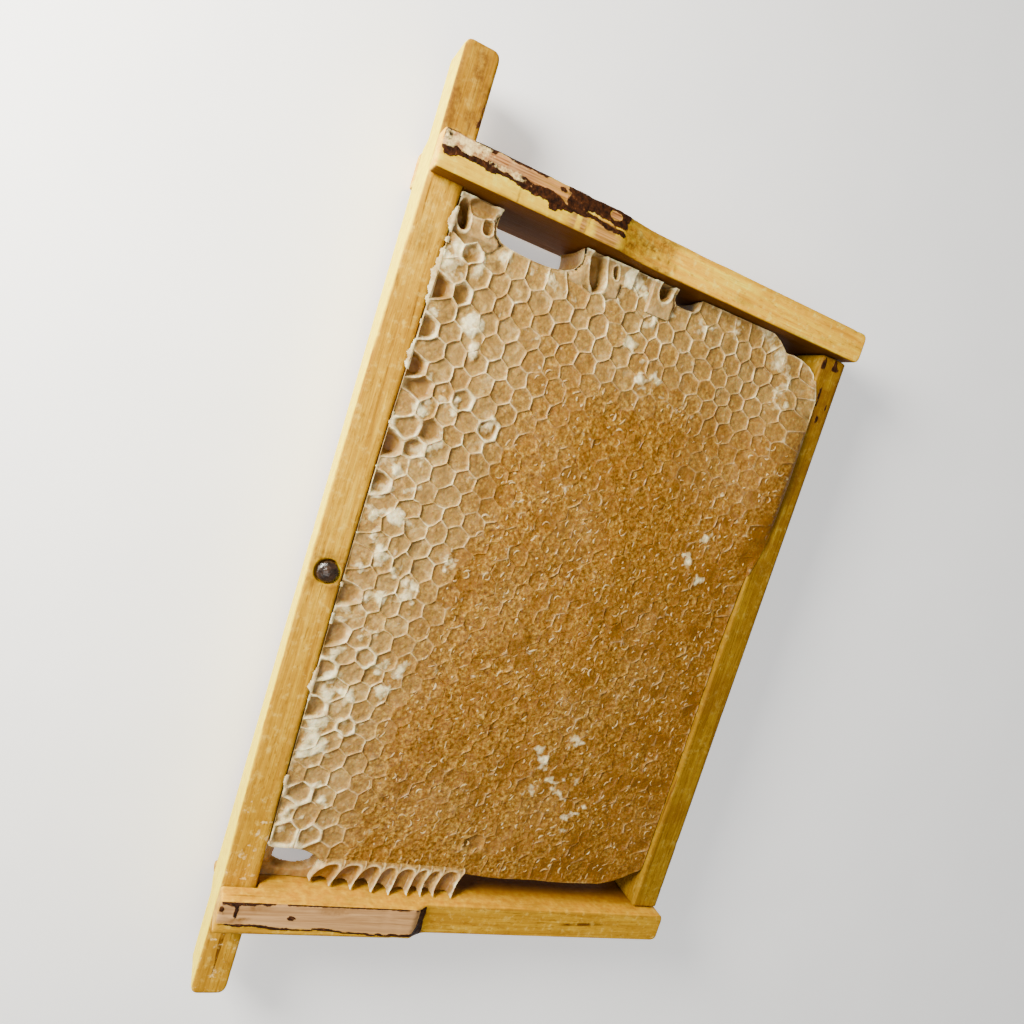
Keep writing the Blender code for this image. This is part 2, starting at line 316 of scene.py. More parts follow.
def knot_material():
    n = Nodes("hard knot")
    rings = n.voronoi(n.coords(), 700.0)
    tone = n.ramp(n.noise(n.coords(), 500.0, 4.0, 0.6),
                  [(0.35, (0.006, 0.004, 0.003)), (0.75, (0.06, 0.03, 0.015))])
    normal = n.bump(n.math("ADD", rings, n.noise(n.coords(), 1200.0, 3.0)), 0.0003, 0.5)
    return n.finish(tone, 0.22, normal, Specular_IOR_Level=0.6)


def floor_material():
    n = Nodes("pale floor")
    tone = n.ramp(n.noise(n.coords(), 30.0, 4.0, 0.5),
                  [(0.3, (0.82, 0.82, 0.81)), (0.7, (0.86, 0.86, 0.85))])
    return n.finish(tone, 0.6, Emission_Color=(1.0, 1.0, 1.0, 1.0), Emission_Strength=0.5)


# ---------------------------------------------------------------- the comb
CELL = 6.0 * MM
COLUMN = CELL * math.sqrt(3) / 2
CORNER = CELL / math.sqrt(3)
LATTICE_SHIFT = np.array([-0.9, -0.5]) * MM
SEGMENTS = 5                       # along each side of a cell
LOOP = 6 * SEGMENTS

# The comb's outline in millimetres, walked clockwise from the top left.
OUTLINE = [
    (-84.2, 60.6), (-60, 60.6), (-30, 60.6), (0, 60.6), (30, 60.6), (60, 60.6), (84, 60.6),
    (95.2, 60.6), (95.2, 55), (95.2, 49.0), (93.3, 49.4), (91.0, 49.6), (88.8, 48.9),
    (87.4, 47.0), (86.8, 44.5), (86.5, 40), (86.4, 36), (86.6, 32), (87.3, 28.6),
    (88.8, 25.8), (91.2, 24.2), (93.2, 24.2), (95.2, 24.8), (95.2, 15), (95.2, 5),
    (95.2, -5.9), (92.3, -6.1), (91.0, -7.0), (90.9, -10.5), (91.2, -13.8), (92.4, -15.0),
    (95.2, -15.1), (95.2, -22), (95.2, -32), (95.2, -42.0), (93.8, -45.2), (91.2, -48.4),
    (91.4, -51.5), (91.0, -54.5), (90.0, -58.0), (88.3, -60.4), (75, -60.4), (50, -60.4),
    (25, -60.4), (0, -60.4), (-25, -60.4), (-50, -60.4), (-70, -60.4), (-82.4, -60.4),
    (-83.6, -58.6), (-86.0, -54.8), (-88.0, -50.8), (-89.4, -46), (-89.7, -35),
    (-89.3, -22), (-89.7, -10), (-89.2, -2), (-88.6, 4), (-88.9, 14), (-88.4, 24),
    (-88.8, 34), (-88.5, 43), (-87.6, 46.0), (-85.9, 47.8), (-84.7, 50.6), (-84.1, 54),
    (-84.3, 57.5),
]


def dense_outline():
    """The outline sampled about every half millimetre, in metres."""
    points = np.array(OUTLINE) * MM
    samples = []
    for start, end in zip(points, np.roll(points, -1, axis=0)):
        count = max(int(np.linalg.norm(end - start) / (0.5 * MM)), 1)
        for step in range(count):
            samples.append(start + (end - start) * step / count)
    return np.array(samples)


def inside(points, polygon):
    """Which points lie inside a closed polygon."""
    result = np.zeros(len(points), dtype=bool)
    x, y = points[:, 0], points[:, 1]
    previous = polygon[-1]
    for corner in polygon:
        crosses = (corner[1] > y) != (previous[1] > y)
        with np.errstate(divide="ignore", invalid="ignore"):
            climb = (y - corner[1]) / (previous[1] - corner[1])
            edge = corner[0] + climb * (previous[0] - corner[0])
        result ^= crosses & (x < edge)
        previous = corner
    return result


def bow_at(x):
    """How far the top bar bows outward, at x."""
    share = np.clip(np.abs(x) / INNER_X, 0.0, 1.0)
    return WARP * (1.0 - share * share)


def overhang_at(x):
    """How far the comb bulges over the bottom bar's face, at x."""
    rise = smoothstep(18 * MM, 34 * MM, x) * (1.0 - smoothstep(80 * MM, 89 * MM, x))
    return rise * 2.9 * MM


def face_height(xy):
    """Height of the comb's open face."""
    z = np.full(xy.shape[:-1], 22.3 * MM)
    z += 4.0 * MM * bump_at(xy, (0.055, -0.058), (0.030, 0.014))
    z += 1.0 * MM * bump_at(xy, (0.070, 0.060), (0.035, 0.008))
    z += 0.35 * MM * noise(flat_points(xy), 0.014, 3)
    z -= 0.9 * MM * smoothstep(80 * MM, 90 * MM, np.abs(xy[..., 0]))
    return z


def clarity_at(xy):
    """1 where the cells are crisp and pale, 0 where honey has blurred them."""
    top = smoothstep(26 * MM, 47 * MM, xy[..., 1] + 0.10 * xy[..., 0])
    right = smoothstep(52 * MM, 84 * MM, xy[..., 0])
    wander = 0.25 * noise(flat_points(xy), 0.016, 11)
    return np.clip(np.maximum(top, right) + wander * (1.0 - top), 0.0, 1.0)


class Lattice:
    """Cells of the comb, their shared rims and the rim's outline."""

    def __init__(self):
        polygon = np.array(OUTLINE) * MM
        centres = []
        for column in range(-20, 21):
            offset = 0.5 if column % 2 else 0.0
            for row in range(-13, 14):
                centres.append((column * COLUMN, (row + offset) * CELL))
        centres = np.array(centres) + LATTICE_SHIFT
        dense = dense_outline()
        gap = np.linalg.norm(centres[:, None] - dense[None], axis=2).min(axis=1)
        keep = inside(centres, polygon) & (gap > 0.9 * MM)
        self.ideal = centres[keep]
        corner_angles = np.arange(6) * math.pi / 3
        corners = np.stack([np.cos(corner_angles), np.sin(corner_angles)], axis=1) * CORNER
        steps = []
        for i in range(6):
            for s in range(SEGMENTS):
                share = s / SEGMENTS
                steps.append(corners[i] * (1 - share) + corners[(i + 1) % 6] * share)
        loops = self.ideal[:, None] + np.array(steps)[None]
        keys = np.round(loops / (0.1 * MM) + 0.137).astype(np.int64)
        flat = keys.reshape(-1, 2)
        _, first, index = np.unique(flat, axis=0, return_index=True, return_inverse=True)
        self.index = index.reshape(len(self.ideal), LOOP)
        self.rim = loops.reshape(-1, 2)[first]
        self.find_edge()
        self.shape_rim(dense)
        self.centres = self.rim[self.index].mean(axis=1)
        step = self.rim[self.pairs[:, 1]] - self.rim[self.pairs[:, 0]]
        step /= np.maximum(np.linalg.norm(step, axis=1, keepdims=True), 1e-9)
        # rims that run across the key light lean most; flecks on them get paler wax as painted highlight
        lean = np.abs(step @ np.array([0.89, -0.46]))
        self.slant = np.zeros(len(self.rim))
        np.maximum.at(self.slant, self.pairs[:, 0], lean)
        np.maximum.at(self.slant, self.pairs[:, 1], lean)

    def find_edge(self):
        """Walk the rim points that border the comb, in order."""
        following = {}
        seen = set()
        for loop in self.index:
            for a, b in zip(loop, np.roll(loop, -1)):
                seen.add((int(a), int(b)))
        for a, b in seen:
            if (b, a) not in seen:
                following[a] = b
        start = next(iter(following))
        walk = [start]
        while following[walk[-1]] != start:
            walk.append(following[walk[-1]])
        self.edge = np.array(walk)
        self.pairs = np.array([(a, b) for a, b in seen if a < b or (b, a) not in seen])

    def shape_rim(self, dense):
        """Let the rims wander, and lay the outermost ones on the outline."""
        rim = self.rim
        wander = flat_points(rim)
        for size, amount, seed in ((0.020, 0.75, 5), (0.0065, 0.78, 7), (0.0024, 0.30, 9),
                                   (0.0012, 0.10, 10)):
            rim[:, 0] += amount * MM * noise(wander, size, seed)
            rim[:, 1] += amount * MM * noise(wander, size, seed + 40)
        edge = rim[self.edge]
        nearest = np.linalg.norm(edge[:, None] - dense[None], axis=2).argmin(axis=1).astype(float)
        count = len(dense)
        place = np.unwrap(nearest * 2 * math.pi / count) * count / (2 * math.pi)
        turn = place[-1] - place[0]
        whole = round((turn + np.sign(turn)) / count) * count
        for _ in range(14):
            before = np.roll(place, 1)
            before[0] -= whole
            after = np.roll(place, -1)
            after[-1] += whole
            place = 0.5 * place + 0.25 * (before + after)
        low = np.floor(place).astype(int)
        part = (place - low)[:, None]
        snapped = dense[low % count] * (1 - part) + dense[(low + 1) % count] * part
        self.edge_loose = snapped
        fixed = np.zeros(len(rim), dtype=bool)
        fixed[self.edge] = True
        rim[self.edge] = snapped
        near = np.linalg.norm(rim[:, None, :] - snapped[None, ::3, :], axis=2).min(axis=1)
        loose = (~fixed) & (near < 5 * MM)
        degree = np.bincount(self.pairs.ravel(), minlength=len(rim))[:, None]
        for _ in range(6):
            total = np.zeros_like(rim)
            np.add.at(total, self.pairs[:, 0], rim[self.pairs[:, 1]])
            np.add.at(total, self.pairs[:, 1], rim[self.pairs[:, 0]])
            mean = total / np.maximum(degree, 1)
            rim[loose] = 0.6 * rim[loose] + 0.4 * mean[loose]
        top = rim[:, 1] > 60.2 * MM
        rim[top, 1] += bow_at(rim[top, 0])


lattice = Lattice()


def nearest_cells(spots):
    """The number of the cell nearest each spot, given in millimetres."""
    places = np.array(spots) * MM
    places[:, 1] -= 0.7 * MM
    return [int(np.linalg.norm(lattice.centres - spot, axis=1).argmin()) for spot in places]


# Cells that differ from their neighbours, by where they lie in millimetres
# middles of capped and of paler patches, in millimetres
CAPPED = [(47.5, 59), (41.5, 56.5), (30.5, 53), (35, 50.5), (59.5, 46.5), (65.5, 49),
          (42.5, 37), (3, 36.5), (76, 4.5), (92.5, 9), (67.5, -3), (88, -2), (82, 58),
          (84, 53), (78, 60), (-53, 58), (-55, 56), (-48, 59), (-39, 52.5), (-30, 46),
          (-35, 43.5), (-31, 40), (-57, -17), (-50, -12), (-46, -8), (-66, -24), (-42, -20),
          (-63, -30), (22, -37), (30, -41), (17, -43), (-47, 57), (-56, 60), (-40, 58),
          (-10, 52), (1, 55), (12, 54), (17, 60), (64, 49)]
PALE = [(-60, 57), (-66, 54), (-72, 58), (-78, 60), (-70, 50), (-80, 52), (-17, 60),
        (-22, 53), (-12, 58), (-3, 58), (-3, 50), (5, 58), (11, 60), (24, 58), (26, 60),
        (-34, 58), (-45, 50), (-52, 50), (-28, 60), (-9, 44), (-15, 43), (-5, 44), (20, 52),
        (44, 47.5), (70, 60), (62, 60), (79, 52), (84, 45), (82, 40), (84, 33), (82, 28),
        (88, 22), (86, 12), (90, 4), (85, 0), (88, -6), (90, -20), (92, -28), (88, -16),
        (80, -48), (84, -50), (87, -46), (91, -42), (76, -50), (72, -2), (70, -7),
        (-53, -20), (-60, -22), (-70, -28), (-45, -14), (-60, -10), (-55, -26)]
# open cells: place and depth in millimetres
OPEN = {(31, 60.5): 2.6, (36, 54.5): 1.6, (52.5, 60): 3.0, (71.5, 60.5): 2.6,
        (78.5, 55): 3.0, (90.5, 59.5): 8.0, (93, 55): 2.6, (90, 52): 4.0,
        (90, 19.5): 7.0, (94, 20.5): 7.0, (93.5, -2): 8.0, (-77, 1.5): 1.0, (-40, 60): 1.6,
        (-19, 61): 1.2, (44, 60): 1.8, (-9, 60): 1.4, (93, 13.5): 2.4}
# Round open cells with thick pale rims: place, and depth in millimetres
RINGED = {(60.5, 58.2): 2.2, (34.5, 57.6): 0.7, (29.0, 55.3): 1.5, (69.0, 54.5): 2.0,
          (18.6, 60.0): 1.8, (44.1, 47.8): 1.0, (43.9, 36.9): 1.0, (79.4, 56.0): 1.6,
          (-33.4, 59.1): 0.8, (-42.9, 58.8): 1.4, (-47.9, 53.3): 0.7, (-67.6, 59.3): 1.2,
          (-78.4, 58.2): 0.9, (-76.8, 51.2): 0.6, (-28.8, 51.9): 0.6}


def ring_cells():
    return {nearest_cells([spot])[0]: depth for spot, depth in RINGED.items()}


def cell_facts():
    """Sink, openness and clarity of every cell."""
    count = len(lattice.centres)
    spots = np.floor(flat_points(lattice.centres) / (0.01 * MM))
    clear = clarity_at(lattice.centres)
    chance = hash01(spots, 21)
    sink = (0.04 + 0.10 * chance + clear * (0.13 + 0.40 * hash01(spots, 23))) * MM
    hollow = np.zeros(count)
    for spot, depth in OPEN.items():
        cell = nearest_cells([spot])[0]
        sink[cell] = depth * MM
        hollow[cell] = 1.0
    ring = np.zeros(count)
    for cell, depth in ring_cells().items():
        sink[cell] = depth * MM
        hollow[cell] = 0.45 if depth > 1.2 else 0.2
        ring[cell] = 1.0
    return {"sink": sink, "open": hollow, "clear": clear, "chance": chance, "ring": ring}


facts = cell_facts()


def white_at(xy):
    """Ragged patches of white capping wax, from 0 to 1."""
    field = np.zeros(xy.shape[:-1])
    for spots, strength, size in ((CAPPED, 1.15, 2.9), (PALE, 0.66, 2.7)):
        for x, y in spots:
            away = ((xy[..., 0] / MM - x) ** 2 + (xy[..., 1] / MM - y + 0.7) ** 2) / size ** 2
            field = np.maximum(field, strength * np.exp(-away))
    points = flat_points(xy)
    ragged = 0.42 * noise(points, 0.0021, 193) + 0.25 * noise(points, 0.0010, 195)
    field = field * (0.60 + 0.40 * clarity_at(xy))
    return np.clip((field + ragged - 0.30) * 1.5, 0.0, 1.0)


def fleck_at(xy, slant):
    """Short bright remains of the cell walls, where honey has blurred the rest; they sit on rims that run
    across the key light, and their brightness is partly painted highlight.
    """
    points = flat_points(xy)
    near = smoothstep(0.18, 0.50, noise(points, 0.0027, 17))
    groups = smoothstep(-0.45, 0.10, noise(points, 0.010, 19))
    return near * groups * smoothstep(0.35, 0.75, slant)


def rim_height(front):
    """Height of each rim point."""
    xy = lattice.rim
    points = flat_points(xy)
    if not front:
        back = 4.4 * MM - 0.25 * MM * noise(points, 0.012, 61)
        back -= 0.15 * MM * noise(points, 0.003, 62)
        return back
    clear = clarity_at(xy)
    z = face_height(xy)
    z += 0.13 * clear * MM * noise(points, 0.0032, 13)
    z += (0.05 + 0.07 * clear) * MM * noise(points, 0.0012, 15)
    z -= (1.0 - clear) * (0.17 - 0.17 * fleck_at(xy, lattice.slant)) * MM
    z += 0.16 * MM * white_at(xy)
    return z


# inset from the rim in millimetres, largest share of the way in, roundness,
# share of the way down and wax, from the rim inwards
FRONT_RINGS = [
    (0.0, 0.0, 0.0, 0.0, 1.0),
    (0.10, 0.07, 0.10, 0.10, 0.95),
    (0.20, 0.12, 0.20, 0.65, 0.65),
    (0.36, 0.20, 0.30, 1.0, 0.15),
    (0.90, 0.42, 0.40, 1.0, 0.0),
    (1.55, 0.62, 0.50, 1.0, 0.0),
    (2.25, 0.86, 0.60, 1.0, 0.0),
]
BACK_RINGS = [
    (0.0, 0.0, 0.0, 0.0, 1.0),
    (0.16, 0.10, 0.2, 0.10, 0.9),
    (0.45, 0.26, 0.55, 1.0, 0.3),
    (1.5, 0.66, 0.60, 1.0, 0.0),
]


def white_edges(xy):
    """Torn white wax beside the gap in the far corner and along the bars."""
    ragged = noise(flat_points(xy), 0.0022, 191)
    corner = bump_at(xy, (0.0945, -0.041), (0.0035, 0.006))
    corner = np.maximum(corner, bump_at(xy, (0.089, -0.048), (0.005, 0.0035)))
    corner = np.maximum(corner, 0.7 * bump_at(xy, (0.082, -0.050), (0.006, 0.003)))
    top = smoothstep(58 * MM, 61.5 * MM, xy[..., 1]) * 0.30
    top = np.maximum(top, 0.75 * bump_at(xy, (0.080, 0.058), (0.009, 0.006)))
    low = 0.35 * bump_at(xy, (0.060, -0.062), (0.040, 0.004))
    return np.clip(np.maximum(np.maximum(corner, top), low) + 0.35 * ragged - 0.12, 0.0, 1.0)


def cell_face(front):
    """Vertices, faces and attributes of one face of the comb."""
    rings = FRONT_RINGS if front else BACK_RINGS
    way = 1.0 if front else -1.0
    index = lattice.index
    rim = lattice.rim
    rim_z = rim_height(front)
    cells = len(index)
    centre = lattice.centres
    loop = rim[index]
    loop_z = rim_z[index]
    reach = loop - centre[:, None]
    radius = np.maximum(np.linalg.norm(reach, axis=2), 1e-6)
    if front:
        sink, hollow, clear, chance, ring = (
            facts[key] for key in ("sink", "open", "clear", "chance", "ring"))
        rim_clear = clarity_at(rim)
    else:
        chance = hash01(np.floor(flat_points(centre) / (0.01 * MM)), 71)
        sink = (0.30 + 0.5 * chance) * MM
        hollow = np.zeros(cells)
        ring = np.zeros(cells)
        clear = np.full(cells, 0.6)
        rim_clear = np.full(len(rim), 0.6)
    sink, hollow, clear, chance, ring = (v[:, None] for v in (sink, hollow, clear, chance, ring))
    mean_z = loop_z.mean(axis=1, keepdims=True)
    bright = 0.62 + 0.75 * noise(flat_points(rim), 0.0030, 31)
    # flecks on blurred rims get paler wax, partly painted highlight
    wax_rim = rim_clear * bright + (1 - rim_clear) * 0.36 * fleck_at(rim, lattice.slant)
    wax_rim = np.clip(wax_rim, 0, 1)
    white_rim = np.maximum(white_at(rim) * 0.8, white_edges(rim)) if front else rim_clear * 0
    white_rim = np.maximum(white_rim, smoothstep(0.55, 0.95, wax_rim) * 0.55)
    blank = np.zeros(len(rim))
    verts = [np.concatenate([rim, rim_z[:, None]], axis=1)]
    layers = {"wax": [wax_rim], "white": [white_rim], "painted_shade": [blank],
              "tone": [rim_clear * 0.6], "amber": [blank]}
    grids = [index]
    start = len(rim)
    for inset, most, roundness, down, wax in rings[1:]:
        share = np.minimum(inset * MM / radius, most)
        size = radius * (1.0 - share)
        mean = size.mean(axis=1, keepdims=True)
        size = size * (1 - roundness) + roundness * np.minimum(mean, size * 1.25)
        round_rim = np.maximum(hollow, ring)
        size = size + round_rim * down * (0.80 * np.minimum(mean, size) - size)
        xy = centre[:, None] + reach / radius[..., None] * size[..., None]
        points = flat_points(xy)
        dome = 1.0 - (size / radius) ** 2
        grain = 0.08 * noise(points, 0.0009, 23) + 0.12 * noise(points, 0.0019, 25)
        if front:
            patch = np.maximum(white_at(xy), white_edges(xy) * (1.0 - 0.5 * dome)) * (1 - hollow)
            lumps = 0.20 * noise(points, 0.0034, 27) * (1.0 - clear)
            lumps = lumps + patch * (0.18 + 0.25 * noise(points, 0.0019, 33))
            floor = face_height(xy) - (0.10 * (1 - clear) + 0.05) * MM - sink * (1 - 0.75 * patch)
            floor = floor + (grain + lumps) * MM * (1.0 - 0.7 * hollow)
            floor = floor + math.exp(-inset / 0.4) * 0.12 * MM
        else:
            patch = np.zeros_like(radius)
            floor = mean_z * 0.55 + loop_z * 0.45 + sink - grain * MM
        z = loop_z * (1 - down) + floor * down
        if 0.0 < down < 1.0:
            z = z + ring * 0.35 * MM
        verts.append(np.concatenate([xy, z[..., None]], axis=2).reshape(-1, 3))
        grids.append(np.arange(start, start + cells * LOOP).reshape(cells, LOOP))
        start += cells * LOOP
        ragged = np.clip(1.0 + 0.8 * noise(points, 0.0009, 37), 0, 1.3)
        local_wax = np.clip(wax * wax_rim[index] * ragged, 0, 1)
        local_white = np.maximum(patch, white_rim[index] * wax * 0.8)
        if 0.0 < down < 1.0:
            local_white = np.maximum(local_white, ring * (0.7 + 0.3 * noise(points, 0.0015, 39)))
        # painted shade: open cells darker the deeper they sink
        local_painted_shade = hollow * down * np.clip(sink / (3 * MM), 0.45, 1) + 0 * radius
        amber_and_painted_shade = smoothstep(0.25, 0.7, noise(points, 0.0052, 35)) * (1 - clear) * 0.50
        if front:
            # painted shade along the top bar's edge, where the comb meets it
            painted_shade_by_bar = smoothstep(58.5 * MM, 61.5 * MM, xy[..., 1]) * (1 - patch)
            local_painted_shade = local_painted_shade + 0.45 * painted_shade_by_bar * smoothstep(-0.2, 0.5, noise(points, 0.0045, 41))
        # painted shade: darker amber towards the bottom, for the light's fall-off
        amber_and_painted_shade = amber_and_painted_shade + 0.40 * smoothstep(15 * MM, -60 * MM, xy[..., 1]) * (1 - 0.8 * clear)
        layers["wax"].append(local_wax.reshape(-1))
        layers["white"].append(local_white.reshape(-1))
        layers["painted_shade"].append(local_painted_shade.reshape(-1))
        layers["tone"].append((clear * (0.55 + 0.6 * chance) + 0 * radius).reshape(-1))
        layers["amber"].append(amber_and_painted_shade.reshape(-1))
    verts.append(verts[-1].reshape(cells, LOOP, 3).mean(axis=1))
    hearts = np.arange(start, start + cells)
    for values in layers.values():
        values.append(values[-1].reshape(cells, LOOP).mean(axis=1))
    faces = []
    for outer, inner in zip(grids, grids[1:]):
        b, c = np.roll(outer, -1, axis=1), np.roll(inner, -1, axis=1)
        faces.append(np.stack([outer, b, c], axis=2))
        faces.append(np.stack([outer, c, inner], axis=2))
    last = grids[-1]
    faces.append(np.stack([last, np.roll(last, -1, axis=1),
                           np.repeat(hearts[:, None], LOOP, axis=1)], axis=2))
    per_cell = np.concatenate(faces, axis=1)
    if not front:
        per_cell = per_cell[..., ::-1]
    layers = {key: np.concatenate(values) for key, values in layers.items()}
    return np.concatenate(verts), per_cell, layers


def shift_overhang(verts):
    """Push the lowest cells of the face out over the bottom bar."""
    x, y, z = verts[:, 0], verts[:, 1], verts[:, 2]
    near = smoothstep(-52 * MM, -60.4 * MM, y)
    reach = overhang_at(x)
    verts[:, 1] -= reach * near
    over = np.clip((FOOT_Y - verts[:, 1]) / (3.0 * MM), 0.0, 1.0)
    drop = over ** 2 * np.clip(z - (BOTTOM_FACE + 0.15 * MM), 0.0, None)
    verts[:, 2] -= drop * 0.85
    low = (verts[:, 1] < FOOT_Y + 0.2 * MM) & (reach > 0.5 * MM)
    verts[low, 2] = np.maximum(verts[low, 2], BOTTOM_FACE + 0.12 * MM)


def pick(verts, faces, attributes):
    """Keep only the vertices that the faces use."""
    used, inverse = np.unique(faces, return_inverse=True)
    return verts[used], inverse.reshape(faces.shape), {k: v[used] for k, v in attributes.items()}


def in_patch(centres):
    """Cells whose place is taken by smooth webs of wax at the right bar."""
    x, y = centres[:, 0] / MM, centres[:, 1] / MM
    corner = (x > 86.5) & (y > 47.5)
    ledge = (x > 85.6) & (y > -6.5) & (y < 25)
    return corner | (ledge & ((y > 11.5) | (y < 2.2) & (x > 89.0)))


def build_comb(material):
    verts, per_cell, layers = cell_face(True)
    shift_overhang(verts)
    kept = ~in_patch(lattice.centres)
    upper = lattice.centres[:, 1] > 4 * MM
    pieces = []
    for name, mask in (("comb_face_upper", upper & kept), ("comb_face_lower", ~upper & kept)):
        part = pick(verts, per_cell[mask].reshape(-1, 3), layers)
        pieces.append(mesh_object(name, part[0], part[1], material, part[2]))
    front_edge = verts[lattice.edge].copy()
    verts, per_cell, layers = cell_face(False)
    part = pick(verts, per_cell.reshape(-1, 3), layers)
    pieces.append(mesh_object("comb_back", part[0], part[1], material, part[2]))
    back_edge = verts[lattice.edge].copy()
    pieces.append(comb_sides(front_edge, back_edge, material))
    pieces.append(build_flecks(material))
    pieces.append(web_patch(material))
    pieces.append(burr_row(material))
    pieces.append(top_seam(material))
    pieces.append(corner_web(material))
    return pieces


def build_flecks(material):
    """Short curved remains of cell walls that stand out of the honey, turned across the key light; their
    pale and white tones are partly painted highlight.
    """
    step = 3.2
    row, column = np.meshgrid(np.arange(-21, 22), np.arange(-30, 31), indexing="ij")
    seed = np.stack([row, column, row * 0.0], axis=-1).reshape(-1, 3)
    h = [hash01(seed, 300 + k)[:, None] for k in range(8)]
    centre = np.stack([column.ravel() * step + (row.ravel() % 2) * step / 2,
                       row.ravel() * step * 0.92], axis=1)
    centre = (centre + 1.3 * (2 * np.hstack([h[0], h[1]]) - 1)) * MM
    dense = dense_outline()
    gap = np.linalg.norm(centre[:, None] - dense[None, ::3], axis=2).min(axis=1)
    chance = 0.22 + 0.35 * smoothstep(-0.5, 0.5, noise(flat_points(centre), 0.013, 310))
    keep = inside(centre, dense) & (gap > 2 * MM) & (clarity_at(centre) < 0.5 - 0.3 * h[2][:, 0])
    keep &= (h[3][:, 0] < chance + 0.30) & (white_at(centre) < 0.2)
    centre = centre[keep]
    h = [values[keep] for values in h]
    angle = np.radians(-27 + 90 * (h[4] - 0.5))
    length = (0.9 + 2.3 * h[5] ** 1.6) * MM
    width = (0.22 + 0.24 * h[6]) * MM
    bend = (h[7] - 0.5) * 1.9
    u, v = np.meshgrid(np.linspace(-1, 1, 9), np.linspace(-1, 1, 5), indexing="ij")
    u, v = u.reshape(1, -1), v.reshape(1, -1)
    along = u * length / 2
    aside = bend * u * u * length / 2 + v * width * np.sqrt(1.0 - 0.85 * u * u)
    x = centre[:, :1] + along * np.cos(angle) - aside * np.sin(angle)
    y = centre[:, 1:] + along * np.sin(angle) + aside * np.cos(angle)
    xy = np.stack([x, y], axis=-1)
    height = (0.05 + 0.10 * h[2]) * MM
    z = face_height(xy) - 0.30 * MM + 0.20 * MM * noise(flat_points(xy), 0.0034, 27)
    z = z + (height + 0.10 * MM) * (1 - v * v) * (1 - u ** 4)
    verts = np.concatenate([xy, z[..., None]], axis=-1).reshape(-1, 3)
    number = np.arange(45).reshape(9, 5)
    quad = np.stack([number[:-1, :-1], number[1:, :-1], number[1:, 1:], number[:-1, 1:]], axis=-1)
    faces = (quad.reshape(1, -1, 4) + 45 * np.arange(len(centre))[:, None, None]).reshape(-1, 4)
    fade = np.sqrt(np.clip((1 - v * v) * (1 - u ** 4), 0, 1))
    # painted highlight: a few flecks whiter
    painted_highlight = (0.26 * h[0] ** 3 * fade).reshape(-1)
    glow = ((0.34 + 0.45 * h[6]) * fade).reshape(-1)
    full = np.ones(len(verts))
    return mesh_object("comb_flecks", verts, faces, material,
                       {"wax": glow, "white": painted_highlight, "painted_shade": full * 0, "tone": full * 0,
                        "amber": full * 0})


def sheet_patch(name, x_range, y_range, step, shape, material):
    """A height field on an even grid; shape gives z, a mask and the attributes."""
    xs = np.arange(x_range[0], x_range[1] + step / 2, step) * MM
    ys = np.arange(y_range[0], y_range[1] + step / 2, step) * MM
    grid = np.stack(np.meshgrid(xs, ys, indexing="ij"), axis=-1)
    z, shown, layers = shape(grid)
    wide, tall = len(xs), len(ys)
    number = np.arange(wide * tall).reshape(wide, tall)
    faces = np.stack([number[:-1, :-1], number[1:, :-1], number[1:, 1:], number[:-1, 1:]], axis=-1)
    full = shown[:-1, :-1] & shown[1:, :-1] & shown[1:, 1:] & shown[:-1, 1:]
    verts = np.concatenate([grid, z[..., None]], axis=-1).reshape(-1, 3)
    flat = {key: np.broadcast_to(value, z.shape).reshape(-1) for key, value in layers.items()}
    part = pick(verts, faces[full], flat)
    return mesh_object(name, part[0], part[1], material, part[2])


def oval(grid, centre, half, turn_degrees, power=2.0):
    """0 at an oval's middle, 1 on its edge, more outside."""
    turn = math.radians(turn_degrees)
    x = grid[..., 0] / MM - centre[0]
    y = grid[..., 1] / MM - centre[1]
    along = (x * math.cos(turn) + y * math.sin(turn)) / half[0]
    across = (-x * math.sin(turn) + y * math.cos(turn)) / half[1]
    return (np.abs(along) ** power + np.abs(across) ** power) ** (1 / power)


# openings in the smooth wax at the right bar: middle, half size, turn, depth, darkness of the painted shade
# in the opening
WEB_OPENINGS = [
    ((90.0, 58.4), (3.6, 1.7), 12, 7.0, 1.0),
    ((93.2, 54.2), (2.3, 3.9), 12, 1.4, 0.55),
    ((89.4, 51.6), (2.0, 1.5), 5, 2.0, 0.60),
    ((90.6, 19.2), (5.3, 2.5), 17, 5.0, 0.55),
    ((92.2, 13.9), (1.8, 0.9), 20, 1.6, 0.30),
    ((93.6, -2.4), (3.3, 2.1), 0, 6.5, 0.80),
]


